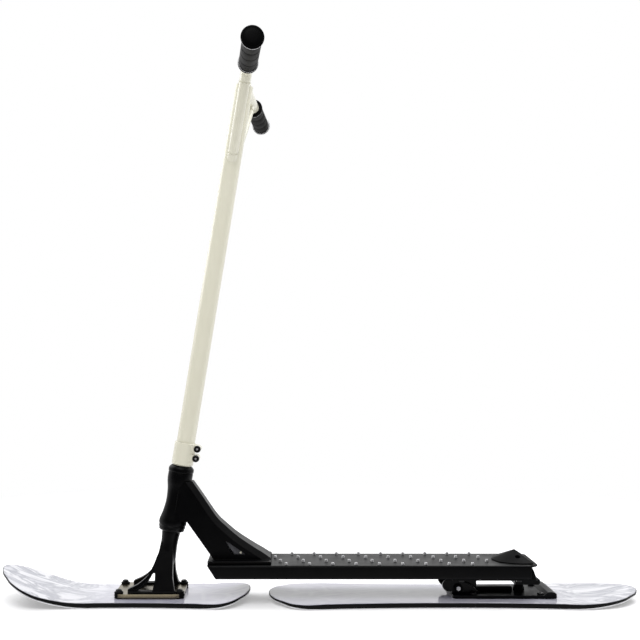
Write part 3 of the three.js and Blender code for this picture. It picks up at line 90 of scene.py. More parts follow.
# Camera where the photograph was taken: level, beside the scooter's left side
print("stage: camera and studio")
cameraView = SimpleNamespace(place=(67.5, 1840, 452), lens=54.7, shift=(0.05625, 0.0625))
camera = bpy.data.objects.new("camera", bpy.data.cameras.new("camera"))
scene.collection.objects.link(camera)
camera.location = Vector(cameraView.place) * mm
camera.rotation_euler = (radians(90), 0, radians(180))
camera.data.lens = cameraView.lens
camera.data.shift_x, camera.data.shift_y = cameraView.shift
camera.data.clip_end = 100
scene.camera = camera
scene.view_settings.view_transform = "Standard"

studio = SimpleNamespace(
    worldLevel=0.85,
    softLevel=0.5,  # what matt faces get from the side of the black boards
    boardLevel=0.05,  # what gloss mirrors on that side
    boardEdge=(-0.15, 0.45),
    lamps=[  # place, aim, width, watts
        ((-1300, -900, 2200), (100, 0, 350), 1600, 22),
        ((1500, -900, 1500), (200, 0, 350), 1400, 11),
        ((220, 1200, 1900), (130, 0, 800), 1200, 15),
    ],
    floorReach=9000,
    floorColours=("#f4f4f6", "#fafafb"),
    floorGrain=25,
    floorGlow=0.3,
    clearFrom=950,
    clearTo=1700,
    clothFrom=120,
    clothTo=400,
)


def makeWorld():
    world = bpy.data.worlds.new("studioWorld")
    scene.world = world
    world.use_nodes = True
    tree = world.node_tree
    tree.nodes.clear()
    rays = addNode(tree, "ShaderNodeLightPath", {}).outputs
    seen = addNode(tree, "ShaderNodeMath", {0: rays["Is Camera Ray"], 1: rays["Is Transmission Ray"]},
                   operation="MAXIMUM")
    sky = addNode(tree, "ShaderNodeTexCoord", {}).outputs["Generated"]
    heading = addNode(tree, "ShaderNodeSeparateXYZ", {0: sky})
    # Black boards stand along the +Y side and white ones elsewhere, softer for matt faces than for gloss
    edgeFrom, edgeTo = studio.boardEdge
    boards = [addNode(tree, "ShaderNodeMapRange", {
        "Value": heading.outputs["Y"], "From Min": edgeFrom, "From Max": edgeTo, "To Min": white,
        "To Max": black}, interpolation_type="SMOOTHSTEP")
        for white, black in ((studio.worldLevel, studio.softLevel), (1.0, studio.boardLevel))]
    sides = addNode(tree, "ShaderNodeMix", {0: rays["Is Glossy Ray"], 2: boards[0], 3: boards[1]},
                    data_type="FLOAT")
    level = addNode(tree, "ShaderNodeMix", {0: seen, 2: sides, 3: 1.0}, data_type="FLOAT")
    light = addNode(tree, "ShaderNodeBackground", {"Color": (1, 1, 1, 1), "Strength": level})
    addNode(tree, "ShaderNodeOutputWorld", {"Surface": light})


def makeLamp(number, place, aim, width, watts):
    lamp = bpy.data.lights.new(f"softbox{number}", "AREA")
    lamp.shape, lamp.size, lamp.energy = "SQUARE", width * mm, watts
    holder = bpy.data.objects.new(lamp.name, lamp)
    scene.collection.objects.link(holder)
    holder.location = Vector(place) * mm
    holder.rotation_euler = (Vector(aim) - Vector(place)).to_track_quat("-Z", "Y").to_euler()


def makeFloor():
    bm = bmesh.new()
    bmesh.ops.create_grid(bm, x_segments=1, y_segments=1, size=studio.floorReach * mm)
    mesh = bpy.data.meshes.new("floor")
    bm.to_mesh(mesh)
    bm.free()
    floor = bpy.data.objects.new("floor", mesh)
    scene.collection.objects.link(floor)
    # Matt paper sweep: white to the eye far out, with the scooter's shadow near it
    material, tree, shader, place = startMaterial("paperSweep", {"Roughness": 0.9})
    grain = addNode(tree, "ShaderNodeTexNoise", {
        "Vector": place, "Scale": 1 / (studio.floorGrain * mm), "Detail": 3.0})
    dull, bright = [linearColour(tone) for tone in studio.floorColours]
    tint = addNode(tree, "ShaderNodeMix", {0: grain, 6: dull, 7: bright}, data_type="RGBA")
    feed(tree, shader, {"Base Color": tint.outputs[2]})
    away = addNode(tree, "ShaderNodeVectorMath", {0: place}, operation="LENGTH")
    clear = addNode(tree, "ShaderNodeMapRange", {
        "Value": away.outputs["Value"], "From Min": studio.clearFrom * mm,
        "From Max": studio.clearTo * mm}, interpolation_type="SMOOTHSTEP")
    rays = addNode(tree, "ShaderNodeLightPath", {}).outputs
    near = addNode(tree, "ShaderNodeEmission", {"Strength": studio.floorGlow})
    lit = addNode(tree, "ShaderNodeAddShader", {0: shader, 1: near})
    white = addNode(tree, "ShaderNodeEmission", {"Strength": 1.0})
    spread = addNode(tree, "ShaderNodeMixShader", {0: clear, 1: lit, 2: white})
    seen = addNode(tree, "ShaderNodeMath", {0: rays["Is Camera Ray"], 1: rays["Is Glossy Ray"]},
                   operation="MAXIMUM")
    both = addNode(tree, "ShaderNodeMixShader", {0: seen, 1: shader, 2: spread})
    # Black cloth on the floor before the scooter: only its gloss sees it, so its sides stay dark
    across = addNode(tree, "ShaderNodeSeparateXYZ", {0: place}).outputs["Y"]
    inFront = addNode(tree, "ShaderNodeMapRange", {
        "Value": across, "From Min": studio.clothFrom * mm, "From Max": studio.clothTo * mm},
        interpolation_type="SMOOTHSTEP")
    mirrored = addNode(tree, "ShaderNodeMath", {0: inFront, 1: rays["Is Glossy Ray"]}, operation="MULTIPLY")
    cloth = addNode(tree, "ShaderNodeEmission", {"Strength": studio.boardLevel})
    whole = addNode(tree, "ShaderNodeMixShader", {0: mirrored, 1: both, 2: cloth})
    output = next(n for n in tree.nodes if n.type == "OUTPUT_MATERIAL")
    feed(tree, output, {"Surface": whole})
    mesh.materials.append(material)


makeWorld()
makeFloor()
for number, lampFacts in enumerate(studio.lamps):
    makeLamp(number + 1, *lampFacts)

# Materials
print("stage: materials")


coatLook = SimpleNamespace(drift=45, peelDepth=0.1, lacquerRough=0.12)
metalLook = SimpleNamespace(smear=18, lineDepth=0.05)


def sprayedCoat(name, colour, light, rough, grainSize, bump, ior=1.5, coat=0.0):
    # Sprayed, baked or moulded skin: fine peel, slightly uneven sheen and a faint drift of tone
    material, tree, shader, place = startMaterial(name, {
        "IOR": ior, "Coat Weight": coat, "Coat Roughness": coatLook.lacquerRough})
    drift = addNode(tree, "ShaderNodeTexNoise", {
        "Vector": place, "Scale": 1 / (coatLook.drift * mm), "Detail": 5.0, "Roughness": 0.6})
    tint = addNode(tree, "ShaderNodeMix", {0: drift, 6: linearColour(colour), 7: linearColour(light)},
                   data_type="RGBA")
    sheen = addNode(tree, "ShaderNodeMapRange", {
        "Value": drift, "From Min": 0.3, "From Max": 0.7, "To Min": rough[0], "To Max": rough[1]})
    peel = addNode(tree, "ShaderNodeTexNoise", {
        "Vector": place, "Scale": 1 / (grainSize * mm), "Detail": 2.0})
    relief = addNode(tree, "ShaderNodeBump", {
        "Height": peel, "Strength": bump, "Distance": coatLook.peelDepth * mm})
    feed(tree, shader, {"Base Color": tint.outputs[2], "Roughness": sheen, "Normal": relief})
    return material


def groundMetal(name, colour, dull, rough, lineSize, stretch, bump):
    # Bare metal: fine lines from the tool or belt that made the face
    material, tree, shader, place = startMaterial(name, {"Metallic": 1.0})
    lines = addNode(tree, "ShaderNodeMapping", {"Vector": place, "Scale": stretch})
    brush = addNode(tree, "ShaderNodeTexNoise", {
        "Vector": lines, "Scale": 1 / (lineSize * mm), "Detail": 4.0, "Roughness": 0.65})
    smear = addNode(tree, "ShaderNodeTexNoise", {
        "Vector": place, "Scale": 1 / (metalLook.smear * mm), "Detail": 4.0})
    tint = addNode(tree, "ShaderNodeMix", {0: smear, 6: linearColour(colour), 7: linearColour(dull)},
                   data_type="RGBA")
    sheen = addNode(tree, "ShaderNodeMapRange", {
        "Value": brush, "From Min": 0.25, "From Max": 0.75, "To Min": rough[0], "To Max": rough[1]})
    relief = addNode(tree, "ShaderNodeBump", {
        "Height": brush, "Strength": bump, "Distance": metalLook.lineDepth * mm})
    feed(tree, shader, {"Base Color": tint.outputs[2], "Roughness": sheen, "Normal": relief})
    return material


# Powder baked on forged and extruded aluminium: near black and satin, with a faint peel
powderCoat = sprayedCoat("satinPowderCoat", "#040405", "#070708", (0.3, 0.42), 1.2, 0.12, ior=1.2)
# Sprayed gloss enamel on the steel bar: warm white with wide, soft highlights
glossPaint = sprayedCoat("glossTubePaint", "#dcd9c5", "#e2dfcd", (0.2, 0.28), 2.5, 0.05, coat=0.4)
# Glass-filled nylon from a grained mould: matt black
mouldedNylon = sprayedCoat("mouldedNylon", "#040404", "#080809", (0.42, 0.55), 0.8, 0.3, ior=1.13)
# Moulded rubber: the dullest black, almost without highlights
mouldedRubber = sprayedCoat("mouldedRubber", "#060505", "#0b0a0a", (0.5, 0.64), 0.6, 0.4, ior=1.18)
# Black oxide on screw steel: dark, with a little glint on the heads' edges
blackSteel = sprayedCoat("blackOxideSteel", "#060607", "#0d0d0f", (0.28, 0.4), 0.7, 0.15, ior=1.4)
# Sanded ABS strip round the ski: even satin black
skiSidewall = sprayedCoat("absSidewall", "#030304", "#060607", (0.3, 0.42), 0.9, 0.1, ior=1.2)
# Sheet in the window: flat mid grey, painted light that stands in for the lit inside of the hollow neck
insertPlate = sprayedCoat("windowGreyAsLitInside", "#47474b", "#545458", (0.34, 0.44), 0.8, 0.1, ior=1.3)
# Tumbled zinc plate: pale, rather matt metal that stays light from every side
brightSteel = groundMetal("zincPlatedSteel", "#f4f4f6", "#dededf", (0.56, 0.72), 0.4, (1, 1, 6), 0.15)
# Milled plate: brownish metal with tool lines along its length, its base colour darkened as painted
# reflection of the dark fork and surroundings
rawAluminium = groundMetal("plateDarkenedForReflection", "#8d836b", "#6a6353", (0.16, 0.3), 0.35, (0.06, 1, 1), 0.2)

sheetPrint = SimpleNamespace(
    stretch=(0.55, 1, 0.3), cloudSize=90, cloudStops=[(0.32, "#b9b8cb"), (0.66, "#d6d5e2")],
    veinSize=38, veinWidth=0.12, veinShare=0.22, veinColour="#ebeaf2",
    marbleSize=60, marbleStops=[(0.42, "#e4e4ea"), (0.5, "#9fa1ac"), (0.62, "#dcdce4")],
    tipsFrom=350, tipsTo=480,
)


def frostedSheet():
    # Printed ski top sheet under clear lacquer: plain pale middle and marbled tips, glossy to the eye
    material, tree, shader, place = startMaterial("frostedTopSheet", {
        "IOR": 1.5, "Roughness": 0.16, "Coat Weight": 0.5, "Coat Roughness": 0.06})
    stretched = addNode(tree, "ShaderNodeMapping", {"Vector": place, "Scale": sheetPrint.stretch})
    swirl = addNode(tree, "ShaderNodeTexNoise", {
        "Vector": stretched, "Scale": 1 / (sheetPrint.cloudSize * mm), "Detail": 4.0,
        "Roughness": 0.55, "Distortion": 1.2})
    marble = addNode(tree, "ShaderNodeTexNoise", {
        "Vector": stretched, "Scale": 1 / (sheetPrint.marbleSize * mm), "Detail": 6.0,
        "Roughness": 0.62, "Distortion": 1.6})
    ramps = []
    for pattern, stops in ((swirl, sheetPrint.cloudStops), (marble, sheetPrint.marbleStops)):
        ramp = addNode(tree, "ShaderNodeValToRGB", {0: pattern})
        if len(stops) > 2:
            ramp.color_ramp.elements.new(0.5)
        for element, (position, tone) in zip(ramp.color_ramp.elements, stops):
            element.position, element.color = position, linearColour(tone)
        ramps.append(ramp)
    veins = addNode(tree, "ShaderNodeTexVoronoi", {
        "Vector": stretched, "Scale": 1 / (sheetPrint.veinSize * mm), "Randomness": 1.0},
        feature="DISTANCE_TO_EDGE")
    thin = addNode(tree, "ShaderNodeMapRange", {
        "Value": veins, "From Min": 0.0, "From Max": sheetPrint.veinWidth,
        "To Min": sheetPrint.veinShare, "To Max": 0.0}, interpolation_type="SMOOTHSTEP")
    frost = addNode(tree, "ShaderNodeMix", {
        0: thin, 6: ramps[0], 7: linearColour(sheetPrint.veinColour)}, data_type="RGBA")
    along = addNode(tree, "ShaderNodeSeparateXYZ", {0: place})
    outward = addNode(tree, "ShaderNodeMath", {0: along}, operation="ABSOLUTE")
    tips = addNode(tree, "ShaderNodeMapRange", {
        "Value": outward, "From Min": sheetPrint.tipsFrom * mm, "From Max": sheetPrint.tipsTo * mm},
        interpolation_type="SMOOTHSTEP")
    printed = addNode(tree, "ShaderNodeMix", {0: tips, 6: frost.outputs[2], 7: ramps[1]}, data_type="RGBA")
    feed(tree, shader, {"Base Color": printed.outputs[2]})
    return material


skiSheet = frostedSheet()

slotMaterials = {
    "black_coat": powderCoat, "cream_paint": glossPaint, "raw_aluminium": rawAluminium,
    "bright_steel": brightSteel, "black_steel": blackSteel, "black_rubber": mouldedRubber,
    "black_plastic": mouldedNylon, "ski_body": skiSidewall, "top_sheet": skiSheet,
}
for part in frame["record"]["subparts"]:
    mesh = frame["nodes"][part["node"]].data
    mesh.materials.clear()
    mesh.materials.append(slotMaterials[part["material_slot"]])

# Making of pieces


def tempObject(bm):
    mesh = bpy.data.meshes.new("temp")
    bm.to_mesh(mesh)
    bm.free()
    made = bpy.data.objects.new("temp", mesh)
    scene.collection.objects.link(made)
    return made


def carved(blank, *tools, operation="DIFFERENCE"):
    # Cuts each tool from the blank, or joins it on
    temps = [tempObject(bm) for bm in (blank, *tools)]
    for tool in temps[1:]:
        step = temps[0].modifiers.new("carve", "BOOLEAN")
        step.object, step.operation, step.solver = tool, operation, "EXACT"
    result = bmesh.new()
    result.from_object(temps[0], bpy.context.evaluated_depsgraph_get())
    for temp in temps:
        mesh = temp.data
        bpy.data.objects.remove(temp)
        bpy.data.meshes.remove(mesh)
    return result


def merged(*parts):
    # Puts separate shells in one mesh
    result = bmesh.new()
    for part in parts:
        mesh = bpy.data.meshes.new("part")
        part.to_mesh(mesh)
        part.free()
        result.from_mesh(mesh)
        bpy.data.meshes.remove(mesh)
    return result


def placed(bm, matrix):
    bmesh.ops.transform(bm, matrix=matrix, verts=bm.verts)
    return bm


def facing(direction, axis="Z", up="Y"):
    return Vector(direction).to_track_quat(axis, up).to_matrix().to_4x4()


def seated(x, y, z, turn=0):
    return Matrix.Translation((x, y, z)) @ Matrix.Rotation(turn, 4, "X")


def finishPiece(name, bm, material, body, node=None, place=None, edge=0, smooth=35, steps=2):
    # Turns a mesh in millimetres to a piece that rides on a body and stands for its plain node
    if place is not None:
        placed(bm, place)
    bmesh.ops.scale(bm, vec=(mm, mm, mm), verts=bm.verts)
    bmesh.ops.remove_doubles(bm, verts=bm.verts, dist=0.002 * mm)
    bmesh.ops.recalc_face_normals(bm, faces=bm.faces)
    mesh = bpy.data.meshes.new(name)
    bm.to_mesh(mesh)
    bm.free()
    mesh.materials.append(material)
    mesh.shade_smooth()
    mesh.set_sharp_from_angle(angle=radians(smooth))
    piece = bpy.data.objects.new(name, mesh)
    scene.collection.objects.link(piece)
    if edge:
        rounding = piece.modifiers.new("edges", "BEVEL")
        rounding.width, rounding.segments = edge * mm, steps
        rounding.limit_method, rounding.angle_limit = "ANGLE", radians(28)
        piece.modifiers.new("evened", "WEIGHTED_NORMAL")
    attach(piece, body)
    if node:
        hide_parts(node)


def spun(profile, sides=64):
    # Turns pairs of radius and height about Z
    bm = bmesh.new()
    corners = [bm.verts.new((radius, 0, height)) for radius, height in profile]
    edges = [bm.edges.new(pair) for pair in zip(corners, corners[1:])]
    bmesh.ops.spin(bm, geom=corners + edges, cent=(0, 0, 0), axis=(0, 0, 1), angle=2 * pi,
                   steps=sides, use_merge=True)
    bmesh.ops.remove_doubles(bm, verts=bm.verts, dist=0.001)
    bmesh.ops.recalc_face_normals(bm, faces=bm.faces)
    return bm


def ringOf(bore, wall, sides):
    # Turned ring with a plain bore
    low, high = wall[0][1], wall[-1][1]
    return spun([(bore, low), *wall, (bore, high), (bore, low)], sides)


def turnedRing(bore, radius, low, high, edge=0.35, sides=72):
    return ringOf(bore, [(radius - edge, low), (radius, low + edge), (radius, high - edge),
                         (radius - edge, high)], sides)


def pullOut(bm, faces):
    # Extrudes the faces and gives the new corners and faces
    pulled = bmesh.ops.extrude_face_region(bm, geom=faces)["geom"]
    return [[new for new in pulled if isinstance(new, kind)]
            for kind in (bmesh.types.BMVert, bmesh.types.BMFace)]


def bevelled(bm, edges, width, steps):
    bmesh.ops.bevel(bm, geom=edges, offset=width, offset_type="OFFSET", segments=steps, profile=0.5,
                    affect="EDGES", material=-1)
    return bm


def fourSpots(xs, y):
    return [(x, side * y) for x in xs for side in (1, -1)]


def sawn(points, low, high, flat=False):
    # Outline in X and Z cut across Y, or in X and Y cut up Z where it lies flat
    bm = bmesh.new()
    face = bm.faces.new([bm.verts.new((a, b, low) if flat else (a, low, b)) for a, b in points])
    along = Vector((0, 0, 1) if flat else (0, 1, 0))
    bmesh.ops.translate(bm, vec=along * (high - low), verts=pullOut(bm, [face])[0])
    bmesh.ops.recalc_face_normals(bm, faces=bm.faces)
    return bm


def roundedBar(rear, front, half, low, high, corner, y=0, axis=2, steps=6):
    # Box centred on y, with the four edges along one axis rounded
    bm = bmesh.new()
    bmesh.ops.create_cube(bm, size=1)
    low, high = Vector((rear, y - half, low)), Vector((front, y + half, high))
    bmesh.ops.scale(bm, vec=high - low, verts=bm.verts)
    bmesh.ops.translate(bm, vec=(low + high) / 2, verts=bm.verts)
    along = [e for e in bm.edges if abs((e.verts[0].co - e.verts[1].co)[axis]) > 1e-6]
    return bevelled(bm, along, corner, steps)


def rodAlong(radius, start, end, sides=48):
    start, end = Vector(start), Vector(end)
    bm = bmesh.new()
    bmesh.ops.create_cone(bm, cap_ends=True, segments=sides, radius1=radius, radius2=radius,
                          depth=(end - start).length)
    return placed(bm, Matrix.Translation((start + end) / 2) @ facing(end - start))


def sweptTube(radius, points, sides=32):
    # Round tube through the points
    bm = bmesh.new()
    points = [Vector(p) for p in points]
    ring = bmesh.ops.create_circle(bm, segments=sides, radius=radius, cap_ends=True)["verts"]
    heading = (points[1] - points[0]).normalized()
    bmesh.ops.transform(bm, matrix=Matrix.Translation(points[0]) @ facing(heading), verts=ring)
    end = bm.faces[:]
    for index in range(1, len(points)):
        ring, end = pullOut(bm, end)
        before = points[index] - points[index - 1]
        after = points[index + 1] - points[index] if index + 1 < len(points) else before
        bmesh.ops.translate(bm, vec=before, verts=ring)
        newHeading = (before.normalized() + after.normalized()).normalized()
        swing = heading.rotation_difference(newHeading).to_matrix().to_4x4()
        spot = points[index]
        bmesh.ops.transform(bm, verts=ring,
                            matrix=Matrix.Translation(spot) @ swing @ Matrix.Translation(-spot))
        heading = newHeading
    bmesh.ops.recalc_face_normals(bm, faces=bm.faces)
    return bm


def smoothCurve(points, steps=4):
    # Softens a row of points to a curve through all of them
    row = [Vector(p) for p in points]
    row = [2 * row[0] - row[1], *row, 2 * row[-1] - row[-2]]
    curve = []
    for a, b, c, d in zip(row, row[1:], row[2:], row[3:]):
        for t in (step / steps for step in range(steps)):
            curve.append(0.5 * (2 * b + (c - a) * t + (2 * a - 5 * b + 4 * c - d) * t * t
                                + (3 * b - a - 3 * c + d) * t ** 3))
    return [*curve, row[-2]]


def roundCorners(points, radius, steps=5):
    rounded = []
    for index, corner in enumerate(Vector(p) for p in points):
        before = corner + (Vector(points[index - 1]) - corner).normalized() * radius
        after = corner + (Vector(points[(index + 1) % len(points)]) - corner).normalized() * radius
        for t in (step / steps for step in range(steps + 1)):
            rounded.append(before.lerp(corner, t).lerp(corner.lerp(after, t), t))
    return rounded


def arcPoints(centre, radius, start, end, steps=16):
    angles = [radians(start + (end - start) * step / steps) for step in range(steps + 1)]
    return [(centre[0] + radius * cos(a), centre[1] + radius * sin(a)) for a in angles]


welds = SimpleNamespace(fine=1.5, heavy=1.7, pitch=2.2, ripple=(0.75, 1, 0.8, 1))


def weldBead(path, width):
    # Row of overlapping ripples, as the dipped rod leaves along a seam
    bm = bmesh.new()
    points = [Vector(p) for p in path]
    carried = 0.0
    for start, end in zip(points, points[1:]):
        heading = (end - start).normalized()
        turn = facing(heading, "X", "Z") @ Matrix.Diagonal(welds.ripple)
        while carried < (end - start).length:
            ripple = bmesh.ops.create_uvsphere(bm, u_segments=10, v_segments=6, radius=width)["verts"]
            bmesh.ops.transform(bm, matrix=Matrix.Translation(start + heading * carried) @ turn, verts=ripple)
            carried += welds.pitch
        carried -= (end - start).length
    return bm


def hexRod(radius, height):
    bm = bmesh.new()
    bmesh.ops.create_cone(bm, cap_ends=True, segments=6, radius1=radius, radius2=radius, depth=height)
    return bm


def capScrew(radius, height, shank, reach, socket=0.48):
    # Low domed head with a hexagon socket over a plain shank; the head's seat is at zero
    head = spun([
        (0, -reach), (shank - 0.4, -reach), (shank, -reach + 0.4), (shank, 0), (radius - 0.3, 0),
        (radius, 0.3), (radius, 0.5 * height), (0.9 * radius, 0.85 * height), (0.7 * radius, height),
        (0, height),
    ], 40)
    return carved(head, placed(hexRod(socket * radius, height), seated(0, 0, 0.95 * height)))


def hexBolt(radius, height, shank, reach):
    # Hexagon head with its corners turned off over a plain shank; the head's seat is at zero
    turnedOff = spun([(0, 0), (0.93 * radius, 0), (1.02 * radius, 0.12 * height),
                      (1.02 * radius, 0.78 * height), (0.84 * radius, height), (0, height)], 48)
    head = carved(placed(hexRod(radius, height), seated(0, 0, height / 2)), turnedOff, operation="INTERSECT")
    return merged(head, spun([(0, -reach), (shank, -reach), (shank, 0.1), (0, 0.1)], 24))


# Skis: laminated body, printed top sheet and steel edge, each bent to the same rocker
print("stage: skis")
skiLayers = SimpleNamespace(depth=11, tipDepth=5, sheet=0.8, sheetInset=1.2, sheetGap=0.05, edgeWidth=2.2,
             edgeHeight=2, baseLap=0.4, evenShare=0.45)
frontSki = SimpleNamespace(
    noseX=596, length=465, noseHalf=84, waist=148, tailHalf=84, noseRound=80,
    tailRound=58, noseCurve=175, noseRise=58, tailCurve=94, tailRise=17,
)
rearSki = SimpleNamespace(
    noseX=96, length=692, noseHalf=87, waist=147, tailHalf=85, noseRound=75,
    tailRound=125, noseCurve=101, noseRise=9, tailCurve=156, tailRise=17,
)


def skiHalfWidth(ski, x, inset):
    tailX = ski.noseX - ski.length
    noseShoulder, tailShoulder = ski.noseX - ski.noseRound, tailX + ski.tailRound
    noseHalf, tailHalf = ski.noseHalf - inset, ski.tailHalf - inset
    if x > noseShoulder:
        reach = (x - noseShoulder) / (ski.noseRound - inset)
        return noseHalf * sqrt(max(0, 1 - reach * reach))
    if x < tailShoulder:
        reach = (tailShoulder - x) / (ski.tailRound - inset)
        return tailHalf * sqrt(max(0, 1 - reach * reach))
    pull = ski.waist - 2 * inset - (noseHalf + tailHalf) / 2
    share = (noseShoulder - x) / (noseShoulder - tailShoulder)
    return (1 - share) ** 2 * noseHalf + 2 * share * (1 - share) * pull + share ** 2 * tailHalf


def skiRise(ski, x):
    tailX = ski.noseX - ski.length
    nose = max(0, 1 - (ski.noseX - x) / ski.noseCurve)
    tail = max(0, 1 - (x - tailX) / ski.tailCurve)
    rise = ski.noseRise * nose ** 2 + ski.tailRise * tail ** 2
    depth = skiLayers.depth + (skiLayers.tipDepth - skiLayers.depth) * max(nose, tail)
    return rise, depth


def skiLayer(ski, inset, low, high, columns=150, rows=14):
    # A grid drawn to the ski's plan and rocker, then thickened down to its lower face
    bm = bmesh.new()
    bmesh.ops.create_grid(bm, x_segments=columns, y_segments=rows, size=1)
    tailX = ski.noseX - ski.length + inset
    span = ski.length - 2 * inset
    for v in bm.verts:
        even = (v.co.x + 1) / 2
        share = (1 - cos(even * pi)) / 2  # columns close up towards both ends
        if 0.02 < share < 0.98:
            share = (1 - skiLayers.evenShare) * share + skiLayers.evenShare * even
        x = tailX + share * span
        rise, depth = skiRise(ski, x)
        v.co = (x, skiHalfWidth(ski, x, inset) * sin(v.co.y * pi / 2), rise + high(depth))
    bmesh.ops.remove_doubles(bm, verts=bm.verts, dist=0.01)
    for v in pullOut(bm, bm.faces[:])[0]:
        rise, depth = skiRise(ski, v.co.x)
        v.co.z = rise + low(depth)
    bmesh.ops.recalc_face_normals(bm, faces=bm.faces)
    return bm


def makeSki(name, ski, body, node):
    sheet, gap, edgeTop = skiLayers.sheet, skiLayers.sheetGap, skiLayers.edgeHeight
    lap = edgeTop + skiLayers.baseLap
    core = skiLayer(ski, 0, lambda depth: edgeTop, lambda depth: depth - sheet - gap)
    base = skiLayer(ski, skiLayers.edgeWidth, lambda depth: 0, lambda depth: lap)
    finishPiece(f"{name}Body", merged(core, base), skiSidewall, body, node, smooth=40)
    top = skiLayer(ski, skiLayers.sheetInset, lambda depth: depth - sheet, lambda depth: depth)
    finishPiece(f"{name}TopSheet", top, skiSheet, body, f"{node}_top_sheet", edge=0.35, smooth=40)
    ring = carved(skiLayer(ski, 0, lambda depth: 0, lambda depth: edgeTop - gap),
                  skiLayer(ski, skiLayers.edgeWidth - gap, lambda depth: -3, lambda depth: edgeTop + 3))
    finishPiece(f"{name}Edge", ring, brightSteel, body, f"{node}_edge", smooth=40)


makeSki("frontSki", frontSki, "steering", "front_ski")
makeSki("rearSki", rearSki, "rear_truck", "rear_ski")

# T-bar: split downtube, swept crossbar and two bowed braces, welded and painted in one
print("stage: bar")
bar = SimpleNamespace(
    bottom=256.5, top=982.5, radius=17.45, wall=1.6, armRadius=11.1, half=291.7,
    sweep=radians(5), braceRadius=9.5, braceDrop=152, braceReach=112, braceBow=12, slit=1.6, slitTop=292.7,
)


def armPoint(side, distance):
    return Vector((-distance * sin(bar.sweep), side * distance * cos(bar.sweep), bar.top))


def bracePath(side, steps=18):
    foot = Vector((0, 0, bar.top - bar.braceDrop))
    head = Vector((-bar.braceReach * tan(bar.sweep), side * bar.braceReach, bar.top))
    belly = foot.lerp(head, 0.5) + Vector((0, side * bar.braceBow, -bar.braceBow))
    return [foot.lerp(belly, t).lerp(belly.lerp(head, t), t) for t in (i / steps for i in range(steps + 1))]


def seamRing(centre, along, radius):
    turn = Matrix.Translation(centre) @ facing(along)
    angles = [radians(10 * step) for step in range(37)]
    return [turn @ Vector((radius * cos(a), radius * sin(a), 0)) for a in angles]


tubeBore = bar.radius - bar.wall
tube = spun([
    (tubeBore, bar.bottom), (bar.radius - 0.3, bar.bottom), (bar.radius, bar.bottom + 0.3),
    (bar.radius, bar.top), (0, bar.top), (0, bar.top - 12), (tubeBore, bar.top - 14), (tubeBore, bar.bottom),
], 96)
slit = roundedBar(-40, 0, bar.slit / 2, bar.bottom - 5, bar.slitTop, 0.3, axis=0, steps=2)
elbow = bmesh.new()
bmesh.ops.create_uvsphere(elbow, u_segments=48, v_segments=32, radius=bar.armRadius)
placed(elbow, Matrix.Translation((0, 0, bar.top)))
arms, braces, seams = [], [], []
for side in (1, -1):
    arms.append(rodAlong(bar.armRadius, armPoint(side, 0), armPoint(side, bar.half), 64))
    path = bracePath(side)
    braces.append(sweptTube(bar.braceRadius, path, 48))
    outward = armPoint(side, 1) - armPoint(side, 0)
    for centre, along, radius in ((armPoint(side, bar.radius + 1), outward, bar.armRadius),
                                  (path[3], path[4] - path[3], bar.braceRadius),
                                  (path[-3], path[-3] - path[-4], bar.braceRadius)):
        seams.append(weldBead(seamRing(centre, along, radius), welds.fine))
finishPiece("paintedBar", merged(carved(tube, slit), elbow, *arms, *braces, *seams), glossPaint, "steering",
            "handlebar", onSteering, smooth=40)

# Grips with bright rings and end caps
print("stage: grips")
grip = SimpleNamespace(
    inner=149.4, outer=291.4, bore=11.4, body=16.5, flange=18, flangeDepth=8,
    groove=0.7, ribs=4, ringRadius=19.1, ringDepth=2, capRadius=19.2, capEnd=299.7,
    stem=8.8, stemDepth=20, collarRadius=17.6,
)


def onArm(side):
    turn = Matrix.Rotation(side * bar.sweep, 4, "Z") @ Matrix.Rotation(-side * pi / 2, 4, "X")
    return onSteering @ Matrix.Translation((0, 0, bar.top)) @ turn


def gripWall():
    body, start = grip.body, grip.inner + grip.flangeDepth
    pitch = (grip.outer - start - 3) / grip.ribs
    wall = [(grip.flange - 1.6, grip.inner), (grip.flange - 0.4, grip.inner + 0.6),
            (grip.flange, grip.inner + 2), (grip.flange, start - 2.2), (grip.flange - 0.4, start - 1.4),
            (body, start - 1.3)]
    for index in range(grip.ribs):
        low = start + index * pitch
        wall += [(body, low + 0.2), (body, low + pitch - 2.4), (body - grip.groove, low + pitch - 1.7),
                 (body - grip.groove, low + pitch - 0.9)]
    return [*wall, (body, start + grip.ribs * pitch), (body, grip.outer - 0.5), (body - 0.5, grip.outer)]


for name, side in (("left", 1), ("right", -1)):
    finishPiece(f"{name}Grip", ringOf(grip.bore, gripWall(), 72), mouldedRubber, "steering",
                f"{name}_grip", onArm(side))
    seat, rim, collar = grip.outer + 0.3, grip.capRadius, grip.inner + grip.flangeDepth
    ringTop = seat + grip.ringDepth
    cap = spun([
        (0, seat - grip.stemDepth), (grip.stem, seat - grip.stemDepth), (grip.stem, ringTop),
        (rim - 1, ringTop), (rim - 0.3, ringTop + 0.5), (rim, ringTop + 1.4), (rim - 0.3, ringTop + 2.6),
        (rim - 1.6, ringTop + 3.6), (rim - 3.2, ringTop + 3.7), (rim - 3.8, ringTop + 3.2),
        (rim - 4.4, ringTop + 3.5), (rim - 7, grip.capEnd - 0.9), (rim - 11, grip.capEnd - 0.2),
        (0, grip.capEnd),
    ], 72)
    finishPiece(f"{name}EndCap", cap, mouldedNylon, "steering", f"{name}_bar_end", onArm(side))
    rings = merged(turnedRing(grip.stem + 0.1, grip.ringRadius, seat, ringTop),
                   turnedRing(grip.body + 0.05, grip.collarRadius, collar - 1.2, collar + 0.1, 0.2))
    finishPiece(f"{name}GripRings", rings, brightSteel, "steering", place=onArm(side))

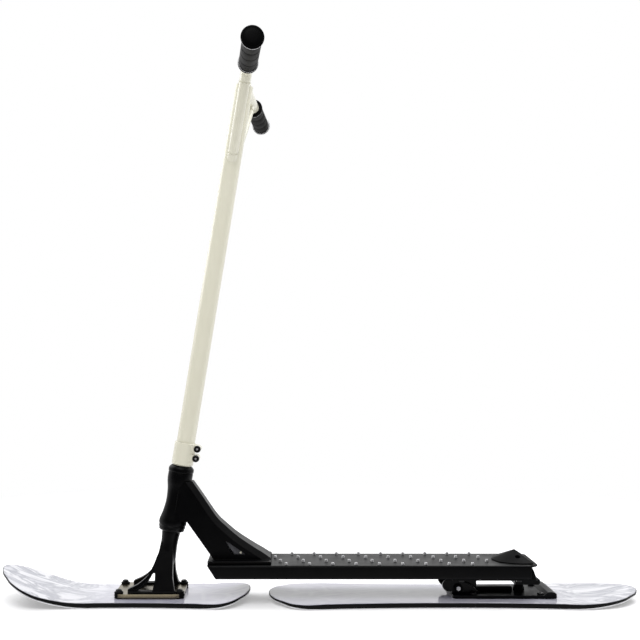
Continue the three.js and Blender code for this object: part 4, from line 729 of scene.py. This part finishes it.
# Split clamp collar with its two bolts, and the headset's turned rings
print("stage: clamp and headset")
clamp = SimpleNamespace(
    bottom=258.2, top=300.2, radius=20.4, bore=17.75, earX=-24.8, earRound=6.2,
    earHalf=16, slot=2.4, levels=(292.6, 274.6), headRadius=6.7, headHeight=4.5, shank=3,
    reach=32, keyShare=0.36, socketGlintDepth=1.2, overrun=9, armEnd=-10,
)
low, high, half = clamp.bottom, clamp.top, clamp.earHalf
collar = turnedRing(clamp.bore, clamp.radius, low, high, 0.8, 96)
lobes, ears = [], []
for level in clamp.levels:
    lobes.append(rodAlong(clamp.earRound, (clamp.earX, -half, level), (clamp.earX, half, level)))
    ears.append(roundedBar(clamp.earX, clamp.armEnd, half, level - clamp.earRound,
                           level + clamp.earRound, 0.6, axis=1, steps=2))
low, high = low - clamp.overrun, high + clamp.overrun
throat = rodAlong(clamp.bore, (0, 0, low), (0, 0, high), 96)
saw = roundedBar(-45, 0, clamp.slot / 2, low, high, 0.2, axis=0, steps=1)
blank = carved(collar, *ears, *lobes, operation="UNION")
finishPiece("barClamp", carved(blank, throat, saw), glossPaint, "steering", "bar_clamp", onSteering,
            edge=0.7, smooth=40)
for number, level in enumerate(clamp.levels, 1):
    across = onSteering @ seated(clamp.earX, half + 0.3, level, -pi / 2)
    bolt = capScrew(clamp.headRadius, clamp.headHeight, clamp.shank, clamp.reach, clamp.keyShare)
    finishPiece(f"clampBolt{number}", bolt, blackSteel, "steering", f"clamp_bolt_{number}", across)
    # A bright zinc hexagon sits down in each socket: a painted highlight for the glint in the socket
    key = hexRod(0.95 * clamp.keyShare * clamp.headRadius, clamp.socketGlintDepth)
    placed(key, seated(0, 0, clamp.headHeight - 0.75 * clamp.socketGlintDepth))
    finishPiece(f"clampSocketGlint{number}", key, brightSteel, "steering", place=across)

headset = {"raceFoot": 132, "raceHeight": 11.2, "raceRadius": 26, "capFoot": 243.4, "capHeight": 12.8,
           "capRadius": 23.75, "bore": 14.6}
raceSteps = [(0.4, 0), (0.2, 0.12), (0.2, 0.42), (0.34, 0.46), (0.34, 0.52), (0.1, 0.56), (0.1, 0.84),
             (0.2, 1)]
capSteps = [(0.1, 0), (0.02, 0.06), (0, 0.2), (0, 0.48), (0.04, 0.6), (0.13, 0.74), (0.3, 0.92), (0.44, 1)]


def headsetRing(name, steps):
    radius, foot, height = [headset[f"{name}{key}"] for key in ("Radius", "Foot", "Height")]
    wall = [(radius - inset * height, foot + rise * height) for inset, rise in steps]
    return ringOf(headset["bore"], wall, 96)


finishPiece("crownRace", headsetRing("race", raceSteps), blackSteel, "steering", "crown_race", onSteering)
finishPiece("dustCap", headsetRing("cap", capSteps), powderCoat, "steering", "dust_cap", onSteering,
            smooth=50)

# Neck: head tube, hollow gusset and foot flange, welded in one
print("stage: neck")
neck = SimpleNamespace(
    tubeFoot=143.5, tubeHeight=99.6, waist=19, topFlare=23.25, footFlare=26, seat=21.2,
    seatDepth=7.3, bore=15.3, rearX=92.7, frontX=197.3, topZ=213, deckTop=74.8,
    flangeFoot=75.1, flangeTop=80.5, flangeRear=91, flangeFront=209, flangeHalf=50,
    half=37, topHalf=19.4, roofWidth=10, throatZ=148.8, throatBack=28.6,
    wallBack=3, seamFrom=166, seamTo=207,
)
tubeWall = [
    *[(neck.footFlare, spread, rise)
      for spread, rise in ((0.88, 0), (1, 0.03), (0.94, 0.09), (0.42, 0.23), (0.08, 0.38))],
    *[(neck.topFlare, spread, rise)
      for spread, rise in ((0, 0.5), (0.25, 0.68), (0.78, 0.8), (1, 0.88), (1, 0.985), (0.86, 1))],
]
gussetBack = [(0.906, 1.075), (0.794, 0.889), (0.632, 0.616), (0.515, 0.48), (0.375, 0.344),
              (0.199, 0.208), (0.095, 0.135), (0, 0.062)]
gussetWindow = [(0.265, 0.1), (0.44, 0.112), (0.525, 0.295), (0.475, 0.262)]


def axisX(height):
    return steerFoot - tan(headTilt) * height


throatX = axisX(neck.throatZ)


def gussetLine(shares):
    topX = axisX(neck.topZ) - 2 * neck.waist / 3
    return [(neck.rearX + run * (topX - neck.rearX), neck.deckTop + rise * (neck.topZ - neck.deckTop))
            for run, rise in shares]


def gussetHalf(x):
    share = (x - neck.rearX) / (throatX - neck.rearX)
    return neck.half + share * (neck.topHalf - neck.half)


wallPoints = [(neck.waist + spread * (flare - neck.waist), neck.tubeFoot + rise * neck.tubeHeight)
              for flare, spread, rise in tubeWall]
outside = [*wallPoints[:2], *smoothCurve(wallPoints[2:9], 5), *wallPoints[9:]]
tubeFoot, tubeTop = neck.tubeFoot, neck.tubeFoot + neck.tubeHeight
headTube = spun([
    *outside, (neck.seat, tubeTop), (neck.seat, tubeTop - neck.seatDepth),
    (neck.bore, tubeTop - neck.seatDepth), (neck.bore, tubeFoot + neck.seatDepth),
    (neck.seat, tubeFoot + neck.seatDepth), (neck.seat, tubeFoot), outside[0],
], 96)
placed(headTube, onSteering)
backCurve = smoothCurve(gussetLine(gussetBack), 5)
sideLine = [
    (axisX(backCurve[0].y) - neck.wallBack, backCurve[0].y), *backCurve,
    (neck.rearX, neck.flangeTop - 2.7), (neck.frontX, neck.flangeTop - 2.7),
    (throatX - neck.throatBack, neck.throatZ), (throatX - neck.wallBack, neck.throatZ),
]
planLine = [(x, side * gussetHalf(x)) for side, x in ((-1, 80), (-1, 290), (1, 290), (1, 80))]
window = roundCorners(gussetLine(gussetWindow), 4)
tunnel = rodAlong(neck.bore + 1, onSteering @ Vector((0, 0, tubeFoot)),
                  onSteering @ Vector((0, 0, tubeTop)), 48)
gusset = carved(sawn(sideLine, -60, 60), sawn(planLine, 60, 260, flat=True), operation="INTERSECT")
gusset = carved(gusset, sawn(window, -70, 70), tunnel)


def onBack(v):
    return any(abs(v.co.x - p.x) + abs(v.co.z - p.y) < 0.02 for p in backCurve)


# The back edges are broken to two long facets that catch the light
rims = [e for e in gusset.edges if all(onBack(v) for v in e.verts) and e.verts[0].co.y * e.verts[1].co.y > 0]
bevelled(gusset, rims, neck.roofWidth, 1)
finishPiece("neckGusset", gusset, powderCoat, "frame", "neck", edge=1.1, smooth=30)
flange = roundedBar(neck.flangeRear, neck.flangeFront, neck.flangeHalf, neck.flangeFoot, neck.flangeTop, 5.4)
finishPiece("neckFlange", flange, powderCoat, "frame", edge=1.2, steps=3)
beads = []
foot = neck.flangeTop - 0.2
for side in (1, -1):
    beads.append(weldBead([(neck.rearX + 4, side * gussetHalf(neck.rearX), foot),
                           (neck.frontX - 2, side * gussetHalf(neck.frontX), foot)], welds.heavy))
    beads.append(weldBead([(axisX(z) - neck.wallBack, side * (neck.waist + 0.8), z)
                           for z in range(neck.seamFrom, neck.seamTo, 4)], welds.fine))
beads.append(weldBead([(neck.rearX, -neck.half + 3, foot), (neck.rearX, neck.half - 3, foot)], welds.heavy))
finishPiece("headTube", merged(headTube, *beads), powderCoat, "frame", smooth=40)

# Plates that close the window behind both walls, each with its rivet; the plates' grey is painted light for
# the lit inside of the neck, and the cream rivet is painted light for the bright spot in the window
windowFill = SimpleNamespace(
    outline=[(0.25, 0.085), (0.4, 0.085), (0.49, 0.235), (0.535, 0.31), (0.47, 0.275)],
    inner=24.5, outer=26, rivetX=148, rivetZ=93,
    rivet=[(0, -0.5), (2.3, -0.5), (2.3, 0.3), (1.7, 1), (0.9, 1.3), (0, 1.4)],
)
for name, side in (("Left", 1), ("Right", -1)):
    panel = sawn(gussetLine(windowFill.outline),
                 *sorted((side * windowFill.inner, side * windowFill.outer)))
    finishPiece(f"windowPlate{name}", panel, insertPlate, "frame", edge=0.3)
    spot = seated(windowFill.rivetX, side * windowFill.outer, windowFill.rivetZ, -side * pi / 2)
    finishPiece(f"windowRivet{name}", spun(windowFill.rivet, 24), glossPaint, "frame", place=spot)

# Fork: stem, two splayed legs with curved braces and pockets, and foot rails
print("stage: fork")
fork = SimpleNamespace(
    heelX=268.6, length=88, foot=20.7, crown=110, legHalf=6, spread=38, topSpread=15,
    split=80, railHalf=7.5, railDepth=3.4, pocket=2, shoulder=17.25,
    crownTop=131.7, steerer=14.3, steererTop=320.2, stem=[
        (0, 66), (12, 66), (15, 69), (16.7, 80), (16.1, 92), (15.6, 103), (15.7, 112), (16.4, 121)],
)
legHeel = [(0, 0), (0.027, 0.07), (0.07, 0.3), (0.073, 0.45), (0.084, 1)]
legFront = [(1, 0.075), (0.777, 0.185), (0.595, 0.345), (0.482, 0.55), (0.425, 0.7), (0.385, 0.8), (0.345, 1)]
legWindow = [(0.485, 0.04), (0.44, 0.24), (0.445, 0.385), (0.49, 0.39)]
legWindowArc = [(0.49, 0.39), (0.565, 0.245), (0.68, 0.12), (0.815, 0.04)]
legPocket = [(0.48, 0.47), (0.575, 0.315), (0.765, 0.15), (0.9, 0.09), (0.86, 0.06), (0.72, 0.13),
             (0.575, 0.28), (0.49, 0.42)]


def forkLine(shares):
    return [(fork.heelX + forward * fork.length, fork.foot + rise * (fork.crown - fork.foot))
            for forward, rise in shares]


def forkLeg(side):
    front = smoothCurve(forkLine(legFront), 5)
    outline = [*forkLine([(1, 0)]), *front, *forkLine(reversed(legHeel))]
    opening = forkLine(legWindow[:-1]) + smoothCurve(forkLine(legWindowArc), 5)
    hollow = roundCorners(forkLine(legPocket), 1.2, 3)
    half = fork.legHalf
    depths = sorted((side * (half - fork.pocket), side * (half + 5)))
    leg = carved(sawn(outline, -half, half), sawn(opening, -20, 20), sawn(hollow, *depths))
    slope = (fork.spread - fork.topSpread) / (fork.split - fork.foot)
    for v in leg.verts:
        v.co.y += side * (fork.spread - slope * (v.co.z - fork.foot))
    return leg


stem = spun([
    *fork.stem, (fork.shoulder, 128), (fork.shoulder, 131), (fork.shoulder - 0.7, fork.crownTop),
    (fork.steerer, fork.crownTop), (fork.steerer, fork.steererTop), (0, fork.steererTop),
], 80)
placed(stem, onSteering)
rails = [roundedBar(fork.heelX, fork.heelX + fork.length, fork.railHalf, fork.foot,
                    fork.foot + fork.railDepth, 3.2, side * fork.spread) for side in (1, -1)]
finishPiece("forgedFork", merged(forkLeg(1), forkLeg(-1), stem, *rails), powderCoat, "steering", "fork",
            edge=0.9)

# Front base plate on rubber discs, held by four bolts
print("stage: front base plate")
basePlate = SimpleNamespace(
    size=(254, 381, 50, 13.4, 20.4, 15), boltsX=(373.5, 260.5), boltY=39,
    grommet=8.4, waist=7.5, bore=3.4, stacks={"lower": (11.3, 17.1), "upper": (17.3, 23.3)},
    bolt=(5.7, 4, 3, 18.2), boltSeat=23.6,
)
plate = roundedBar(*basePlate.size)
boltSpots = fourSpots(basePlate.boltsX, basePlate.boltY)
notches = [rodAlong(basePlate.grommet + 0.1, (x, y, 5), (x, y, 40), 40) for x, y in boltSpots]
finishPiece("frontBasePlate", carved(plate, *notches), rawAluminium, "steering", "front_base_plate",
            edge=1.3, steps=3)


def grommetHalf(low, high):
    # Rubber stack with a waist between its discs
    wide, waist, middle = basePlate.grommet, basePlate.waist, (low + high) / 2
    return ringOf(basePlate.bore, [
        (wide - 0.8, low), (wide, low + 0.8), (wide, middle - 1.2), (waist, middle - 0.3),
        (waist, middle + 0.3), (wide, middle + 1.2), (wide, high - 0.8), (wide - 0.8, high)], 40)


for number, (x, y) in enumerate(boltSpots, 1):
    for name, (low, high) in basePlate.stacks.items():
        finishPiece(f"{name}Grommet{number}", grommetHalf(low, high), mouldedRubber, "steering",
                    f"{name}_rubber_{number}", seated(x, y, 0))
    finishPiece(f"mountBolt{number}", capScrew(*basePlate.bolt), blackSteel, "steering",
                f"mount_bolt_{number}", seated(x, y, basePlate.boltSeat))

# Deck: hollow extrusion with bright studs, moulded end cap and foot wedge
print("stage: deck")
deck = SimpleNamespace(
    rearX=-386, frontX=209, foot=49.5, top=74.8, half=59.5, corner=4, chamfer=16.5,
    undercut=3.3, skin=3.2, channelHalf=17.2, channelPitch=37.3, channelFront=178,
    studPitch=42.9, studRows=[(49.4, 63.5, 9), (20.2, 74.3, 10), (-13.1, 83.7, 10), (-47.6, 51.8, 9)],
    stud=[(0, -1.5), (3, -1.5), (3, 2.6), (2.4, 4.4), (1.3, 4.4), (0.9, 3), (0, 3)],
)
blank = roundedBar(deck.rearX, deck.frontX, deck.half, deck.foot, deck.top, deck.corner, axis=0, steps=5)
noseFoot, below = deck.frontX - deck.chamfer, deck.foot - 5
nose = sawn([(noseFoot, deck.foot), (deck.frontX, deck.top), (deck.frontX + 20, deck.top),
             (deck.frontX + 20, below), (noseFoot - deck.undercut, below)], -80, 80)
channels = [roundedBar(deck.rearX - 5, deck.channelFront, deck.channelHalf, deck.foot + deck.skin,
                       deck.top - deck.skin, 2.5, y, axis=0, steps=3)
            for y in (-deck.channelPitch, 0, deck.channelPitch)]
finishPiece("deckExtrusion", carved(blank, nose, *channels), powderCoat, "frame", "deck", edge=0.6)
studs = []
for y, start, count in deck.studRows:
    for index in range(count):
        stud = spun([(radius, deck.top + height) for radius, height in deck.stud], 14)
        studs.append(placed(stud, seated(start - index * deck.studPitch, y, 0)))
finishPiece("deckStuds", merged(*studs), brightSteel, "frame", smooth=40)

endCap = SimpleNamespace(face=-386.3, lip=13.7, lipDepth=1.8, foot=10.5, half=55.5, round=11)
capBack = smoothCurve([(1, 0), (0.8, 0.25), (0.52, 0.55), (0.15, 0.86)], 4)
capTail = endCap.face - endCap.lip
capLine = [(endCap.face, deck.top), (endCap.face, deck.foot)]
capLine += [(endCap.face - depth * endCap.foot, deck.foot + rise * (deck.top - deck.foot))
            for depth, rise in capBack]
capLine += [(capTail, deck.top - endCap.lipDepth), (capTail, deck.top)]
plan = roundedBar(capTail, endCap.face + endCap.lip, endCap.half, deck.foot - 5, deck.top + 5, endCap.round)
finishPiece("deckEndCap", carved(sawn(capLine, -endCap.half, endCap.half), plan, operation="INTERSECT"),
            mouldedNylon, "frame", "deck_end_cap", edge=0.5)

wedge = SimpleNamespace(
    tipX=-325, length=68, half=47, foot=75.1, lip=1.4, height=18.9, peakShare=0.64,
    ridgeHalf=2.5, screwY=25, wellRadius=4.9, wellFloor=3.4, screw=(4.5, 2.4, 2.5, 7.6),
    screwSeat=3.7, plan=[(0, 0.09), (0.13, 0.64), (0.4, 0.9), (0.7, 1), (1, 0.96)],
)
peakX = wedge.tipX - wedge.peakShare * wedge.length
bm = bmesh.new()
for side in (1, -1):
    for back, across in wedge.plan:
        for level in (wedge.foot, wedge.foot + wedge.lip):
            bm.verts.new((wedge.tipX - back * wedge.length, side * across * wedge.half, level))
    bm.verts.new((peakX, side * wedge.ridgeHalf, wedge.foot + wedge.height))
hull = bmesh.ops.convex_hull(bm, input=bm.verts[:])
bmesh.ops.delete(bm, geom=list({v for v in hull["geom_interior"] + hull["geom_unused"]
                                if isinstance(v, bmesh.types.BMVert)}), context="VERTS")
bmesh.ops.dissolve_limit(bm, angle_limit=radians(1), verts=bm.verts[:], edges=bm.edges[:])
wells = [rodAlong(wedge.wellRadius, (peakX, y, wedge.foot + wedge.wellFloor),
                  (peakX, y, wedge.foot + 30), 32) for y in (wedge.screwY, -wedge.screwY)]
finishPiece("footWedge", carved(bm, *wells), mouldedNylon, "frame", "foot_wedge", edge=0.9, smooth=25,
            steps=3)
for number, y in enumerate((wedge.screwY, -wedge.screwY), 1):
    finishPiece(f"wedgeScrew{number}", capScrew(*wedge.screw), blackSteel, "frame",
                f"foot_wedge_screw_{number}", seated(peakX, y, wedge.foot + wedge.screwSeat))

# Rear hanger under the deck, with its bolts
print("stage: rear hanger")
hanger = SimpleNamespace(
    frontX=-243.5, rearX=-401.5, tailX=-412, top=49.2, tailZ=40.2, flangeFoot=44.6,
    half=20, flangeHalf=46, legRear=-292.5, legFoot=28.5, heelFoot=31.3, heelFront=-365,
    fillet=6, pivot=(-257, 27), boss=8.3, bore=4.4, boltsX=(-262, -369), boltY=34,
    bolt=(5.5, 4, 3, 9), boltSeat=44.3,
)


def pivotBore(facts, half):
    x, z = facts.pivot
    return rodAlong(facts.bore, (x, -half, z), (x, half, z), 40)


tail, archFoot = hanger.tailX, hanger.heelFoot - 9
arch = roundCorners([(hanger.heelFront, archFoot), (hanger.heelFront, hanger.flangeFoot),
                     (hanger.legRear, hanger.flangeFoot), (hanger.legRear, archFoot)],
                    hanger.fillet, 6)
sideLine = [(hanger.frontX, hanger.top), (hanger.rearX, hanger.top),
            (tail + 3, hanger.tailZ + 2.4), (tail, hanger.tailZ), (tail, hanger.heelFoot + 3),
            (tail + 3, hanger.heelFoot), (hanger.heelFront, hanger.heelFoot)]
sideLine += [p for p in arch if p.y > hanger.heelFoot + 0.1]
sideLine += [(hanger.legRear, hanger.legFoot)]
sideLine += arcPoints(hanger.pivot, hanger.boss, 180, 360, 20)
sideLine += [(hanger.frontX, hanger.flangeFoot - 3)]
block = carved(sawn(sideLine, -hanger.half, hanger.half), pivotBore(hanger, 30))
hangerFlange = roundedBar(hanger.rearX, hanger.frontX, hanger.flangeHalf, hanger.flangeFoot, hanger.top, 6)
finishPiece("rearHanger", merged(block, hangerFlange), powderCoat, "frame", "rear_hanger", edge=1, steps=3)
for number, (x, y) in enumerate(fourSpots(hanger.boltsX, hanger.boltY), 1):
    finishPiece(f"hangerBolt{number}", hexBolt(*hanger.bolt), blackSteel, "frame",
                f"hanger_bolt_{number}", seated(x, y, hanger.boltSeat, pi), edge=0.3)

# Rear base plate with ears and rib, pivot bolt and screws; the bumper stays as the frame has it
print("stage: rear truck")
truck = SimpleNamespace(
    frontX=-245, rearX=-438, foot=11.3, top=17.3, half=46, corner=8, tipRise=12.5,
    tipLength=20, tip=[(1.05, 0.72), (0.9, 0.95), (0.6, 1), (0.3, 0.92), (0.08, 0.7), (0, 0.4)],
    earHalf=(20.8, 27.8), lobe=(-239, 32), lobeRadius=11, earRear=-301,
    crest=[(-257, 42), (-271, 37), (-282.3, 32.3)], pivot=(-257, 27), bore=4.4,
    ribX=(-363, -283), ribHalf=6, ribTop=25.5, screwsX=(-284, -408), screwY=35,
    screwHole=3.4, screw=(6, 3, 3, 12.1), screwSeat=17.6, headFace=28.1, headDepth=5.5,
    headRadius=8.4, boltRadius=4.3, boltReach=62.9, nutRadius=6.5, collarDepth=4.6,
)
sideLine = [
    (truck.frontX + 5, truck.foot), (truck.frontX + 5, truck.top),
    (truck.rearX + truck.tipLength + 5, truck.top),
    *[(truck.rearX + truck.tipLength * back, truck.foot + truck.tipRise * rise)
      for back, rise in truck.tip],
    (truck.rearX, truck.foot),
]
plan = roundedBar(truck.rearX, truck.frontX, truck.half, truck.foot - 4, truck.top + 20, truck.corner)
blank = carved(sawn(sideLine, -60, 60), plan, operation="INTERSECT")
screwSpots = fourSpots(truck.screwsX, truck.screwY)
blank = carved(blank, *[rodAlong(truck.screwHole, (x, y, 0), (x, y, 40), 24) for x, y in screwSpots])
lobeX, lobeZ = truck.lobe
crest = smoothCurve([(lobeX, lobeZ + truck.lobeRadius), *truck.crest], 4)
earLine = [(truck.earRear, truck.top - 3), (truck.frontX, truck.top - 3),
           (truck.frontX, lobeZ - truck.lobeRadius)]
earLine += arcPoints(truck.lobe, truck.lobeRadius, -90, 90, 20)
earLine += crest[1:]
ears = [carved(sawn(earLine, *sorted(side * y for y in truck.earHalf)), pivotBore(truck, 40))
        for side in (1, -1)]
rib = roundedBar(*truck.ribX, truck.ribHalf, truck.top - 2, truck.ribTop, 3, axis=1, steps=4)
finishPiece("rearBasePlate", merged(blank, rib, *ears), powderCoat, "rear_truck", "rear_base_plate",
            edge=0.9, steps=3)
pivotX, pivotZ = truck.pivot
across = seated(pivotX, truck.headFace, pivotZ, -pi / 2)
finishPiece("pivotBolt", hexBolt(truck.boltRadius, truck.headDepth, 4, truck.boltReach), brightSteel,
            "rear_truck", "pivot_bolt", across, edge=0.3)
wide, deep = truck.headRadius, truck.collarDepth
sleeve = ringOf(truck.boltRadius + 0.1, [(wide, 0), (wide, 3.2), (wide - 1.4, deep)], 48)
finishPiece("pivotCollar", sleeve, mouldedNylon, "rear_truck", place=across)
nut = carved(hexBolt(truck.nutRadius, truck.headDepth, 1, 0.1),
             rodAlong(truck.boltRadius, (0, 0, -9), (0, 0, 9), 32))
finishPiece("pivotNut", nut, brightSteel, "rear_truck", "pivot_nut",
            seated(pivotX, -truck.headFace, pivotZ, pi / 2), edge=0.3)
for number, (x, y) in enumerate(screwSpots, 1):
    finishPiece(f"rearSkiScrew{number}", capScrew(*truck.screw), blackSteel, "rear_truck",
                f"rear_ski_screw_{number}", seated(x, y, truck.screwSeat))
